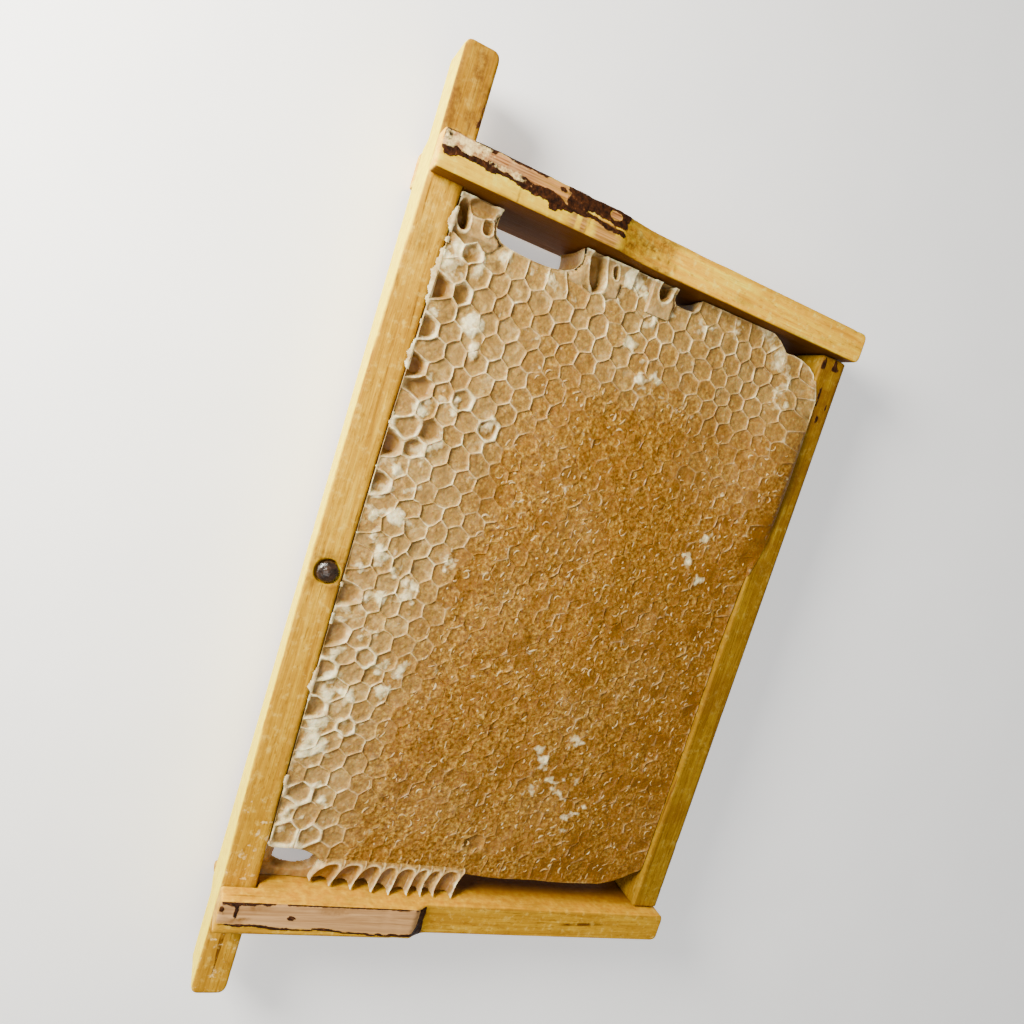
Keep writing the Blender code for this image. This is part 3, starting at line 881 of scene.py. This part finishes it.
def web_patch(material):
    """Smooth webs that join the comb to the right bar, with rounded openings."""
    dense = dense_outline()

    def shape(grid):
        flat = grid.reshape(-1, 2)
        held = inside(flat, dense).reshape(grid.shape[:2])
        x, y = grid[..., 0] / MM, grid[..., 1] / MM
        zone = (y > 44.0) | ((y > 8.0) & (y < 27)) | ((y > -9.0) & (y < 4.5) & (x > 85.8))
        edge = np.linalg.norm(flat[:, None] - dense[None, ::2], axis=2).min(axis=1)
        edge = edge.reshape(x.shape) / MM
        at_bar = (x > 93.6) | (y > 59.2)
        points = flat_points(grid)
        z = np.full(x.shape, 21.9)
        z += 0.30 * noise(points, 0.004, 201) + 0.10 * noise(points, 0.0013, 203)
        z -= 2.2 * smoothstep(1.6, 0.0, edge) ** 2 * ~at_bar
        z += 0.9 * smoothstep(93.0, 95.2, x)
        under = smoothstep(86.2, 84.4, x) + band(y, 45, 1.6, 1.6)
        under += band(y, 9.6, 1.0, 1.4) * (x < 90)
        under += band(y, -8.0, 1.2, 1.2) + band(y, 3.6, 1.0, 1.0)
        z -= 1.3 * np.clip(under, 0, 1)
        painted_shade = np.zeros(x.shape)
        rim = np.zeros(x.shape)
        for centre, half, turn, depth, darkness in WEB_OPENINGS:
            reach = oval(grid, centre, half, turn, 2.4)
            hole = smoothstep(1.08, 0.72, reach + 0.06 * noise(points, 0.0016, 205))
            z -= depth * hole
            painted_shade = np.maximum(painted_shade, darkness * hole)
            rim = np.maximum(rim, np.exp(-((reach - 1.12) / 0.14) ** 2))
        z += 0.22 * rim
        cap = oval(grid, (92.3, 8.3), (3.4, 3.1), 0) + 0.1 * noise(points, 0.002, 207)
        cap = smoothstep(1.05, 0.9, cap)
        white = np.clip(0.05 + 0.30 * noise(points, 0.0032, 209) + 0.50 * rim
                        + 0.55 * smoothstep(1.0, 0.2, edge)
                        + 0.5 * smoothstep(94.0, 95.2, x), 0, 1) * (1 - painted_shade)
        wax = np.clip(0.35 + 0.5 * rim + 0.3 * noise(points, 0.005, 211) - painted_shade, 0, 1)
        # painted shade: a dark film over the webs beside the right bar
        film = 0.28 + 0.25 * noise(points, 0.006, 213)
        return z * MM, held & zone, {"wax": wax, "white": np.maximum(white, cap),
                                     "painted_shade": np.maximum(painted_shade, film * (1 - cap) * (1 - white)),
                                     "tone": 1.0, "amber": 0.0}

    return sheet_patch("comb_webs", (82.2, 95.2), (-9.0, 60.6), 0.2, shape, material)


# the walls of the burr cells, along the left bar in millimetres
BURR_RIBS = (51.6, 46.0, 40.0, 34.2, 28.3, 23.2, 17.8, 13.4, 9.6, 3.6, -1.5)


def burr_row(material):
    """Shallow arched cells that the bees hung between the comb and the left bar."""

    def shape(grid):
        x, y = grid[..., 0] / MM, grid[..., 1] / MM
        points = flat_points(grid)
        to_bar = np.clip((-88.4 - x) / 6.8, 0.0, 1.0)
        lean = y + 2.6 * (1 - to_bar) ** 1.3 - 1.3 + 0.55 * noise(points, 0.0042, 221)
        across = np.full(x.shape, 2.0)
        wide = np.full(x.shape, 3.0)
        for upper, lower in zip(BURR_RIBS, BURR_RIBS[1:]):
            half = (upper - lower) / 2
            place = (lean - (upper + lower) / 2) / half
            here = np.abs(place) <= 1.0
            across = np.where(here, place, across)
            wide = np.where(here, half, wide)
        near = (1.0 - np.abs(across)) * wide
        width = 0.26 + 0.30 * smoothstep(0.75, 1.0, to_bar) + 0.14 * noise(points, 0.003, 223)
        rib = np.exp(-(near / width) ** 2)
        arch = (np.abs(across) ** 2.4 + np.clip((x + 92.0) / 4.0, 0, 2) ** 2.4) ** (1 / 2.4)
        rib = np.maximum(rib, 0.85 * np.exp(-((arch - 1.02) / 0.11) ** 2) * (x > -92))
        cup = smoothstep(1.02, 0.62, arch)
        depth = 1.5 + 1.1 * noise(points, (0.02, 0.0075, 0.02), 225)
        tip = 24.6 - 3.4 * smoothstep(24, 48, y)
        high = 21.9 + (tip - 21.9) * to_bar ** 1.6
        z = high - depth * cup - 0.5 * (1 - rib) * to_bar + 0.25 * rib
        z += 0.16 * noise(points, 0.0015, 227) - 1.6 * smoothstep(-87.4, -86.6, x)
        edge = smoothstep(45.6, 46.3, lean) + smoothstep(3.4, 2.9, lean)
        z -= edge * 6.0
        white = np.clip(rib * 0.60 * (0.70 + 0.5 * noise(points, 0.004, 229))
                        + 0.55 * noise(points, 0.0026, 231) * to_bar, 0, 1)
        # painted shade: the cups take more amber and more dark than the ribs
        amber = np.clip(0.10 + cup * 0.35 + 0.5 * noise(points, (0.02, 0.006, 0.02), 233), 0, 1) * (1 - rib)
        painted_shade = cup * (0.25 + 0.6 * smoothstep(-0.1, 0.5, noise(points, (0.02, 0.007, 0.02), 235)))
        reach = (1.5 + 0.9 * noise(points, (0.02, 0.008, 0.02), 239)) * np.clip(1 - across ** 2, 0, 1)
        shown = (x > -95.2 + reach) & (edge < 0.98)
        return z * MM, shown, {"wax": rib * 0.9, "white": white, "painted_shade": painted_shade * (1 - rib),
                               "tone": 0.5, "amber": amber}

    return sheet_patch("comb_burr_cells", (-95.2, -86.6), (0.0, 50.0), 0.2, shape, material)


def corner_web(material):
    """Wax between the gap beside the top bar and the left bar, painted brown and dark as shade where it
    lies low.
    """

    def shape(grid):
        x, y = grid[..., 0] / MM, grid[..., 1] / MM
        points = flat_points(grid)
        hole = oval(grid, (-87.6, 52.4), (4.4, 5.9), 0, 2.3) + 0.06 * noise(points, 0.0025, 251)
        z = 17.6 - 2.2 * smoothstep(1.35, 1.0, hole) + 0.3 * noise(points, 0.002, 253)
        z += 3.4 * smoothstep(55.5, 60, y) * smoothstep(-92, -88, x)
        shown = (hole > 1.0) & (x < -83.8) & (y > 45.0)
        white = np.clip(0.45 * noise(points, 0.003, 255) + 0.3 * smoothstep(57, 60, y), 0, 1)
        # painted shade: amber and dark laid over the low web
        return z * MM, shown, {"wax": 0.25, "white": white * 0.6, "painted_shade": 0.2, "tone": 0.5, "amber": 0.45}

    return sheet_patch("comb_corner_web", (-95.3, -83.6), (45.0, 61.0), 0.2, shape, material)


def top_seam(material):
    """Wax drawn up onto the top bar's face, in a ragged edge."""

    def shape(grid):
        x, y = grid[..., 0] / MM, grid[..., 1] / MM
        bow = bow_at(grid[..., 0]) / MM
        points = flat_points(grid)
        reach = -0.60 + 1.0 * noise(points * np.array([1, 0, 1]), 0.0046, 241)
        reach += 0.55 * noise(points * np.array([1, 0, 1]), 0.0014, 243)
        reach += 1.25 * band(x, 76, 17, 12) + 0.5 * band(x, -36, 6, 3) + 0.6 * band(x, -8, 4, 3)
        over = (y - 60.8 - bow)
        rise = np.clip(1.0 - over / np.maximum(reach, 0.05), 0.0, 1.0)
        thick = (0.05 + 0.28 * np.sqrt(rise)) * (rise > 0)
        thick += 0.10 * noise(points, 0.0013, 245) * rise
        z = 22.7 + np.maximum(thick, 0.02)
        z = np.where(over < 0, z - 0.5 * np.clip(-over, 0, 1.2) ** 2, z)
        shown = (over < reach) & (over > -0.8) & (reach > 0.1)
        white = np.clip(0.55 + 0.4 * noise(points, 0.0025, 247), 0, 1)
        return z * MM, shown, {"wax": 0.9, "white": white, "painted_shade": 0.0, "tone": 0.8, "amber": 0.0}

    return sheet_patch("comb_top_seam", (-95.0, 95.0), (59.6, 66.4), 0.22, shape, material)


def comb_sides(front_edge, back_edge, material):
    """The comb's outer wall between its two faces."""
    levels = 14
    count = len(front_edge)
    loose = lattice.edge_loose
    at_bar = ((np.abs(loose[:, 0]) > 94.9 * MM) | (loose[:, 1] > 60.2 * MM)
              | (loose[:, 1] < -60.0 * MM))
    tangent = np.roll(back_edge[:, :2], -1, axis=0) - np.roll(back_edge[:, :2], 1, axis=0)
    tangent /= np.maximum(np.linalg.norm(tangent, axis=1, keepdims=True), 1e-9)
    outward = np.stack([tangent[:, 1], -tangent[:, 0]], axis=1)
    rows = [front_edge]
    waxes = [np.full(count, 0.8)]
    tops = np.minimum(front_edge[:, 2] - 0.4 * MM, 23.6 * MM)
    free = (~at_bar).astype(float)
    for _ in range(3):
        free = (np.roll(free, 1) + free + np.roll(free, -1)) / 3
    for level in range(1, levels):
        share = level / levels
        z = tops * (1 - share) + back_edge[:, 2] * share
        xy = back_edge[:, :2].copy()
        points = np.concatenate([xy, z[:, None]], axis=1)
        push = 0.35 * noise(points, 0.0045, 81) + 0.16 * noise(points, 0.0015, 83)
        waist = -1.1 * math.sin(math.pi * share) ** 2
        xy += outward * ((push + waist) * MM * free)[:, None]
        xy -= outward * (1.0 - free)[:, None] * 0.05 * MM
        rows.append(np.concatenate([xy, z[:, None]], axis=1))
        waxes.append(np.full(count, max(0.75 - 1.8 * share, 0.1)))
    rows.append(back_edge)
    waxes.append(np.full(count, 0.5))
    verts = np.concatenate(rows)
    faces = []
    ring = np.arange(count)
    for level in range(levels):
        a = level * count + ring
        b = level * count + np.roll(ring, -1)
        c = b + count
        d = a + count
        faces.append(np.stack([b, a, d, c], axis=1))
    faces = np.concatenate(faces)
    zero = np.zeros(len(verts))
    amber = 0.35 + 0.35 * noise(verts, 0.008, 85)
    attributes = {"wax": np.concatenate(waxes), "white": zero, "painted_shade": zero, "tone": zero + 0.2,
                  "amber": np.clip(amber, 0, 1)}
    return mesh_object("comb_sides", verts, faces, material, attributes)


# ---------------------------------------------------------------- the wood
def fine_copy(node, voxel):
    """The node's solid as an even fine mesh with slightly worn edges."""
    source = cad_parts[node]
    mesh = source.data.copy()
    temp = bpy.data.objects.new(node + "_fine", mesh)
    temp.matrix_world = source.matrix_world.copy()
    bpy.context.scene.collection.objects.link(temp)
    remesh = temp.modifiers.new("even", "REMESH")
    remesh.mode = "VOXEL"
    remesh.voxel_size = voxel
    remesh.use_smooth_shade = True
    worn = temp.modifiers.new("worn", "SMOOTH")
    worn.factor = 0.5
    worn.iterations = 2
    graph = bpy.context.evaluated_depsgraph_get()
    result = bpy.data.meshes.new_from_object(temp.evaluated_get(graph))
    count = len(result.vertices)
    co = np.empty(count * 3, dtype=np.float32)
    no = np.empty(count * 3, dtype=np.float32)
    result.vertices.foreach_get("co", co)
    result.vertex_normals.foreach_get("vector", no)
    bpy.data.objects.remove(temp, do_unlink=True)
    return result, co.reshape(-1, 3).astype(float), no.reshape(-1, 3).astype(float)


def wood_bar(node, fibre, voxel, marks, material):
    """Replace a bar's node by a worn fine mesh; marks gives its stains, painted light and painted shade."""
    result, co, no = fine_copy(node, voxel)
    low, high = (np.array(c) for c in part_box(node))
    size = [0.0009] * 3
    size[fibre] = 0.014
    wide = [0.004] * 3
    wide[fibre] = 0.03
    grain = noise(co, size, 101) * 0.04 + noise(co, wide, 103) * 0.06
    dents = smoothstep(0.45, 0.95, noise(co, 0.0042, 105)) * 0.14
    layers = marks(co, no)
    move = (-0.10 + grain * 0.6 - dents) * MM
    move = np.minimum(move, 0.0) + layers.pop("raise", 0.0)
    moved = np.clip(co + no * np.asarray(move)[..., None], low, high)
    result.vertices.foreach_set("co", moved.astype(np.float32).ravel())
    result.update()
    for key in ("golden_and_painted_light", "shade", "pale", "red", "stain", "propolis", "wax"):
        layer = result.attributes.new(key, "FLOAT", "POINT")
        values = np.clip(np.asarray(layers.get(key, 0.0)) + np.zeros(len(co)), 0.0, 1.0)
        layer.data.foreach_set("value", values.astype(np.float32))
    result.materials.clear()
    result.materials.append(material)
    result.shade_smooth()
    piece = bpy.data.objects.new(node + "_wood", result)
    bpy.context.scene.collection.objects.link(piece)
    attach(piece, "root")
    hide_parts(node)
    return piece


def band(value, centre, half, soft):
    """1 inside centre +- half, falling to 0 over soft."""
    return 1.0 - smoothstep(half, half + soft, np.abs(value - centre))


def right_marks(co, no):
    """The right bar: propolis along the shoulder, chalky wax, a burnt patch, and painted shade on its faces
    and edge.
    """
    x, y, z = co.T / MM
    up = smoothstep(0.5, 0.9, no[:, 2])
    inner = smoothstep(0.5, 0.9, -no[:, 0])
    outer = smoothstep(0.5, 0.9, no[:, 0])
    wander = noise(co, 0.007, 121) * 0.6 + noise(co, 0.0022, 122) * 0.5
    shoulder = smoothstep(17, 19, y)
    centre = 100.1 + 0.016 * (y - 45) + wander * 0.8
    line = band(x, centre, 0.28 + 0.45 * noise(co, 0.008, 123), 0.5)
    crust = line * shoulder * smoothstep(-1.1, -0.4, noise(co, (0.02, 0.006, 0.02), 124))
    blobs = band(x, centre, 1.0, 0.8) * (band(y, 42 + wander, 3.6, 1.6) + band(y, 57.2, 1.1, 0.8)
                                         + band(y, 67.6, 1.3, 0.8))
    blobs += band(x, 98.4, 0.5, 0.7) * band(y, 39.6, 0.8, 1.2)
    heavy = smoothstep(100.3 + wander, 101.5 + wander, x) * band(y, 27, 7.6, 2.2)
    chunk = band(np.hypot(x - 103.2, (y - 22.5) / 1.5), 0, 1.0, 0.5)
    heavy *= (1.0 - 0.9 * chunk) * smoothstep(-0.95, -0.45, noise(co, 0.0035, 127))
    edge = smoothstep(-0.2, 0.3, no[:, 2])
    rim = smoothstep(103.7, 104.3, x + 0.8 * wander) * shoulder
    rim *= smoothstep(-0.5, 0.0, noise(co, 0.005, 125))
    rim *= edge * smoothstep(66, 62, y)
    dot = band(np.hypot(x - 103.4, y - 69.2), 0, 0.9, 0.5)
    scab = smoothstep(0.05, 0.45, noise(co, (0.0022, 0.0035, 0.0022), 139))
    propolis = np.clip(crust + blobs * 0.9 + heavy + dot, 0, 1) * up + rim * 0.9
    propolis += up * scab * (x > centre) * band(y, 41, 7.0, 5.0) * 0.85
    propolis += outer * band(z, 30, 3.0, 1.5) * shoulder * smoothstep(0.0, 0.4, noise(co, 0.004, 128))
    outside = smoothstep(0.0, 0.6, x - centre)
    pale = outside * smoothstep(42, 49, y) * up * 0.95
    red = outside * smoothstep(33, 36, y) * smoothstep(54, 46, y + 4 * wander) * up * 0.85
    red += outside * band(x, 103.2, 0.6, 0.6) * band(y, 58, 4.0, 2.0) * up * scab
    streaks = smoothstep(-0.5, 0.1, noise(co, (0.006, 0.0016, 0.002), 129))
    red += band(x, 98.2, 2.2, 0.8) * band(y, 27.0, 6.0, 3.0) * streaks * up * 0.85
    red += chunk * up
    cracks = band(y + 0.3 * wander, 48.8, 0.1, 0.25) + band(y + 0.4 * wander, 29.4, 0.1, 0.25)
    stain = band(y, 9.5, 7.0, 3.0) * up * (0.45 + 0.5 * noise(co, (0.0022, 0.006, 0.0022), 133))
    stain += up * (1 - shoulder) * smoothstep(0.35, 0.7, noise(co, (0.002, 0.008, 0.002), 134)) * 0.4
    stain += cracks * 0.8 * (x < 100) * shoulder * up
    stain += up * shoulder * smoothstep(96.6, 95.8, x) * smoothstep(-0.2, 0.4, noise(co, 0.004, 137)) * 0.6
    crackle = up * band(y, 3, 2.5, 1.5) * smoothstep(0.3, 0.6, noise(co, 0.0013, 136)) * 0.7
    golden_and_painted_light = up * shoulder * band(x, 97.5, 2.0, 0.8) * 0.35
    wax = outside * band(y, 60, 9, 6) * up * (0.58 + 0.3 * noise(co, 0.0022, 138))
    # painted shade: the inner face, the outer face and the top face towards the shoulder darkened for how
    # the light falls
    shade = inner * 0.97 + up * smoothstep(-4, 12, y) * 0.30 + outer * 0.5
    # painted shade on the outer edge of the narrow part
    shade += up * smoothstep(103.0, 104.6, x) * (1 - shoulder) * 0.3
    lift = (np.clip(propolis, 0, 1) * (0.12 + 0.14 * noise(co, 0.0012, 135))) * MM
    return {"propolis": propolis, "wax": wax, "pale": pale, "red": red, "golden_and_painted_light": golden_and_painted_light,
            "stain": np.clip(stain, 0, 1) + crackle, "shade": shade, "raise": lift}


def left_marks(co, no):
    """The left bar: a pale shoulder outlined by thin dark lines, with painted light and painted shade on
    its inner face.
    """
    x, y, z = co.T / MM
    up = smoothstep(0.5, 0.9, no[:, 2])
    inner = smoothstep(0.5, 0.9, no[:, 0])
    wander = noise(co, 0.006, 141) * 0.5 + noise(co, 0.002, 142) * 0.35
    shoulder = smoothstep(13.5, 15, y)
    centre = -101.9 - (69.0 - y) * 0.038 + wander * 0.6
    line = band(x, centre, 0.12 + 0.22 * noise(co, 0.007, 143), 0.45) * shoulder
    knot = band(np.hypot((x + 99.6) / 0.7, (y - 51.2) / 1.3), 0, 0.7, 0.35)
    end = band(y + 0.5 * wander, 13.8, 0.7, 0.8) * smoothstep(-0.5, 0.1, noise(co, 0.003, 147) + 0.2)
    end += band(np.hypot(x + 103.2, y - 14.2), 0, 1.2, 0.8)
    inner_edge = band(x, -95.9 + wander * 0.3, 0.12, 0.35) * shoulder
    inner_edge *= smoothstep(-0.8, -0.2, noise(co, 0.006, 149))
    corner = band(np.hypot((x + 98.3) / 2.0, (y - 67) / 3.0), 0, 0.9, 0.5)
    corner *= smoothstep(0.0, 0.35, noise(co, 0.0016, 152))
    propolis = np.clip((line + knot + end + inner_edge + corner), 0, 1) * up
    pale = smoothstep(-0.2, 0.6, x - centre) * shoulder * up * 0.92
    stain = up * band(np.hypot((x + 98.5) / 2.5, (y - 65) / 3.5), 0, 0.8, 0.6) \
        * smoothstep(0.0, 0.4, noise(co, 0.0022, 151))
    stain += up * (1 - shoulder) * 0.15
    stain += pale * smoothstep(0.1, 0.6, noise(co, (0.0025, 0.01, 0.0025), 153)) * 0.5
    # partly golden wood, partly painted light on the inner face that faces the key light
    golden_and_painted_light = inner * 0.8 * (0.8 + 0.4 * noise(co, 0.003, 154))
    # painted shade: the inner face darker the deeper it lies under the comb
    level = z - 3.0 * smoothstep(6, -6, y)
    shade = inner * smoothstep(22.5, 14, level) * 0.9
    lift = (propolis * (0.10 + 0.10 * noise(co, 0.0012, 155))) * MM
    return {"propolis": propolis, "pale": pale, "golden_and_painted_light": golden_and_painted_light, "stain": stain,
            "shade": shade, "raise": lift}


def top_marks(co, no):
    """The top bar: a stained ring round the knot, a weathered lug, painted shade along the comb's edge and
    painted light on its outer face.
    """
    x, y, z = co.T / MM
    up = smoothstep(0.5, 0.9, no[:, 2])
    outer = smoothstep(0.5, 0.9, no[:, 1])
    ring = band(np.hypot((x + 6.5) / 1.25, (y - 66.3)), 0, 4.0, 2.0)
    stain = up * ring * 0.7 * smoothstep(-0.5, 0.3, noise(co, 0.0025, 161))
    stain += up * band(np.hypot((x - 81) / 4, (y - 66.5) / 2.4), 0, 0.8, 0.5) * 0.4
    worn = smoothstep(-0.1, 0.4, noise(co, (0.012, 0.0012, 0.002), 163))
    stain += up * smoothstep(104, 109, x) * (0.22 + 0.7 * worn)
    # painted shade: a darker band along the edge that meets the comb
    stain += up * band(y, 61.6, 0.5, 1.6) * band(x, 0, 94, 3) * 0.45
    wax = up * smoothstep(-55, -80, x) * smoothstep(0.15, 0.6, noise(co, 0.0014, 165)) * 0.55
    wax += up * smoothstep(0.45, 0.75, noise(co, 0.0011, 167)) * 0.35
    propolis = np.zeros(len(co))
    for spot, half in ((72, 3.0), (-88, 2.4)):
        ragged = np.hypot((x - spot) / half, (y - 71.0) / 0.9) + 0.5 * noise(co, 0.0016, 169)
        propolis += smoothstep(1.2, 0.8, ragged) * (z > 27.5)
    crack = band(y, 64.0 + 0.5 * noise(co, (0.006, 1, 1), 164), 0.05, 0.22) * band(x, 115, 8.5, 2)
    short = band(y, 67.3 + 0.4 * noise(co, (0.004, 1, 1), 166), 0.03, 0.2)
    crack += short * band(x, 110, 4.0, 2) * 0.7
    stain += up * crack
    # darker towards the lug's end
    shade = up * smoothstep(102, 110, x) * 0.34
    edge = up * smoothstep(104, 112, x) * smoothstep(62.4, 61.4, y + 0.6 * noise(co, 0.003, 175))
    edge += up * smoothstep(127.6, 128.3, x + 0.5 * noise(co, 0.003, 177))
    propolis += edge * 0.85 * smoothstep(-0.3, 0.3, noise(co, 0.005, 179))
    stain += up * smoothstep(103, 108, x) * smoothstep(0.0, 0.45, noise(co, 0.0036, 176)) * 0.75
    # painted light: the outer face golden and bright as lit from that side
    return {"stain": stain, "wax": wax, "propolis": propolis, "golden_and_painted_light": outer,
            "shade": shade}


def bottom_marks(co, no):
    """The bottom bar: honey stains, and a darker right end."""
    x, y, z = co.T / MM
    up = smoothstep(0.5, 0.9, no[:, 2])
    stain = np.zeros(len(co))
    for spot, half in ((26, 1.6), (34, 1.4), (42, 1.6), (55, 4.5), (78, 4.5), (-60, 3), (-20, 5)):
        ragged = np.abs(x - spot) / half + 0.8 * noise(co, 0.003, 171)
        stain += smoothstep(1.6, 0.8, ragged) * 0.55
    stain *= up * smoothstep(-71.5, -66, y)
    edge = up * smoothstep(-68.8, -70.0, y) * 0.4
    stain += up * smoothstep(40, 85, x) * (0.42 + 0.60 * noise(co, 0.0030, 173))
    spots = up * smoothstep(66, 74, x) * smoothstep(0.42, 0.62, noise(co, (0.004, 0.002, 0.002), 175))
    return {"stain": np.clip(stain + edge, 0, 0.9), "propolis": spots * 0.8}


# ---------------------------------------------------------------- assembling
def ride(pieces):
    for piece in pieces:
        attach(piece, "root")


def build_knot(material):
    """The hard knot: a crowned, slightly lobed button."""
    low, high = (np.array(c) for c in (KNOT_LOW, KNOT_HIGH))
    middle = (low + high) / 2
    half = (high - low) / 2
    rings, around = 24, 64
    verts = []
    for i in range(rings + 1):
        polar = math.pi * i / rings
        for j in range(around):
            angle = 2 * math.pi * j / around
            verts.append((math.sin(polar) * math.cos(angle), math.sin(polar) * math.sin(angle),
                          math.cos(polar)))
    verts = np.array(verts)
    lobes = 1.0 - 0.05 * (1 + noise(verts, 0.6, 181)) - 0.02 * (1 + noise(verts, 0.2, 183))
    verts = verts * lobes[:, None] * half * 0.995 + middle
    faces = []
    for i in range(rings):
        for j in range(around):
            k = (j + 1) % around
            faces.append((i * around + j, (i + 1) * around + j, (i + 1) * around + k,
                          i * around + k))
    piece = mesh_object("knot_wood", verts, faces, material)
    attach(piece, "root")
    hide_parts("knot")


def build_floor():
    mesh = bpy.data.meshes.new("floor")
    half = 3.0
    mesh.from_pydata([(-half, -half, 0), (half, -half, 0), (half, half, 0), (-half, half, 0)],
                     [], [(0, 1, 2, 3)])
    mesh.materials.append(floor_material())
    floor = bpy.data.objects.new("floor", mesh)
    floor.location = (0.0, 0.0, -0.0002)
    bpy.context.scene.collection.objects.link(floor)


def add_light(name, place, target, size, power, colour):
    data = bpy.data.lights.new(name, "AREA")
    data.shape = "DISK"
    data.size = size
    data.energy = power
    data.color = colour
    lamp = bpy.data.objects.new(name, data)
    lamp.location = place
    lamp.rotation_euler = (Vector(target) - Vector(place)).to_track_quat("-Z", "Y").to_euler()
    lamp.visible_camera = False
    bpy.context.scene.collection.objects.link(lamp)


def build_light():
    add_light("key", (0.14, 0.30, 0.19), (0, 0, 0.02), 0.15, 4.0, (1.0, 0.96, 0.88))
    add_light("side", (0.02, 0.55, 0.12), (0, 0, 0.02), 0.30, 2.2, (1.0, 0.96, 0.86))
    add_light("fill", (-0.2, 0.1, 0.8), (0, 0, 0.02), 0.7, 3.2, (1.0, 0.98, 0.95))
    world = bpy.data.worlds.new("studio")
    world.use_nodes = True
    back = world.node_tree.nodes["Background"]
    back.inputs["Color"].default_value = (1.0, 0.99, 0.97, 1.0)
    back.inputs["Strength"].default_value = 0.22
    bpy.context.scene.world = world


def build_camera():
    data = bpy.data.cameras.new("camera")
    data.sensor_width = 36.0
    data.lens = 27.305
    data.shift_x = -0.0302
    data.shift_y = 0.0240
    data.clip_start = 0.01
    camera = bpy.data.objects.new("camera", data)
    forward = Vector((-0.0966, -0.4099, -0.9070)).normalized()
    up = Vector((0.9482, 0.2393, -0.2091))
    right = forward.cross(up).normalized()
    up = right.cross(forward).normalized()
    matrix = Matrix((right, up, -forward)).transposed().to_4x4()
    matrix.translation = Vector((0.03824, 0.10165, 0.22254))
    camera.matrix_world = matrix
    bpy.context.scene.collection.objects.link(camera)
    bpy.context.scene.camera = camera


wax_and_honey = honeycomb_material()
comb_pieces = build_comb(wax_and_honey)
ride(comb_pieces)
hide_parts("comb")
# the low and high tones of golden wood and of painted light on lit faces, yellow or orange
LEMON = ((0.78, 0.56, 0.004), (0.95, 0.76, 0.008))
ORANGE = ((0.68, 0.27, 0.003), (0.92, 0.48, 0.008))
# The gains set each bar's brightness, partly wood tone and partly painted light and shade: the right bar
# brighter for the light from its side, the bottom bar darker for the light's fall-off.
wood_bar("top_bar", 0, 0.52 * MM, top_marks, wood_material("top pine", 0, 0.84, LEMON))
wood_bar("bottom_bar", 0, 0.56 * MM, bottom_marks, wood_material("bottom pine", 0, 0.42, ORANGE))
wood_bar("side_bar_right", 1, 0.48 * MM, right_marks, wood_material("right pine", 1, 1.7, LEMON))
wood_bar("side_bar_left", 1, 0.48 * MM, left_marks, wood_material("left pine", 1, 0.88, ORANGE))
build_knot(knot_material())
build_floor()
build_light()
build_camera()
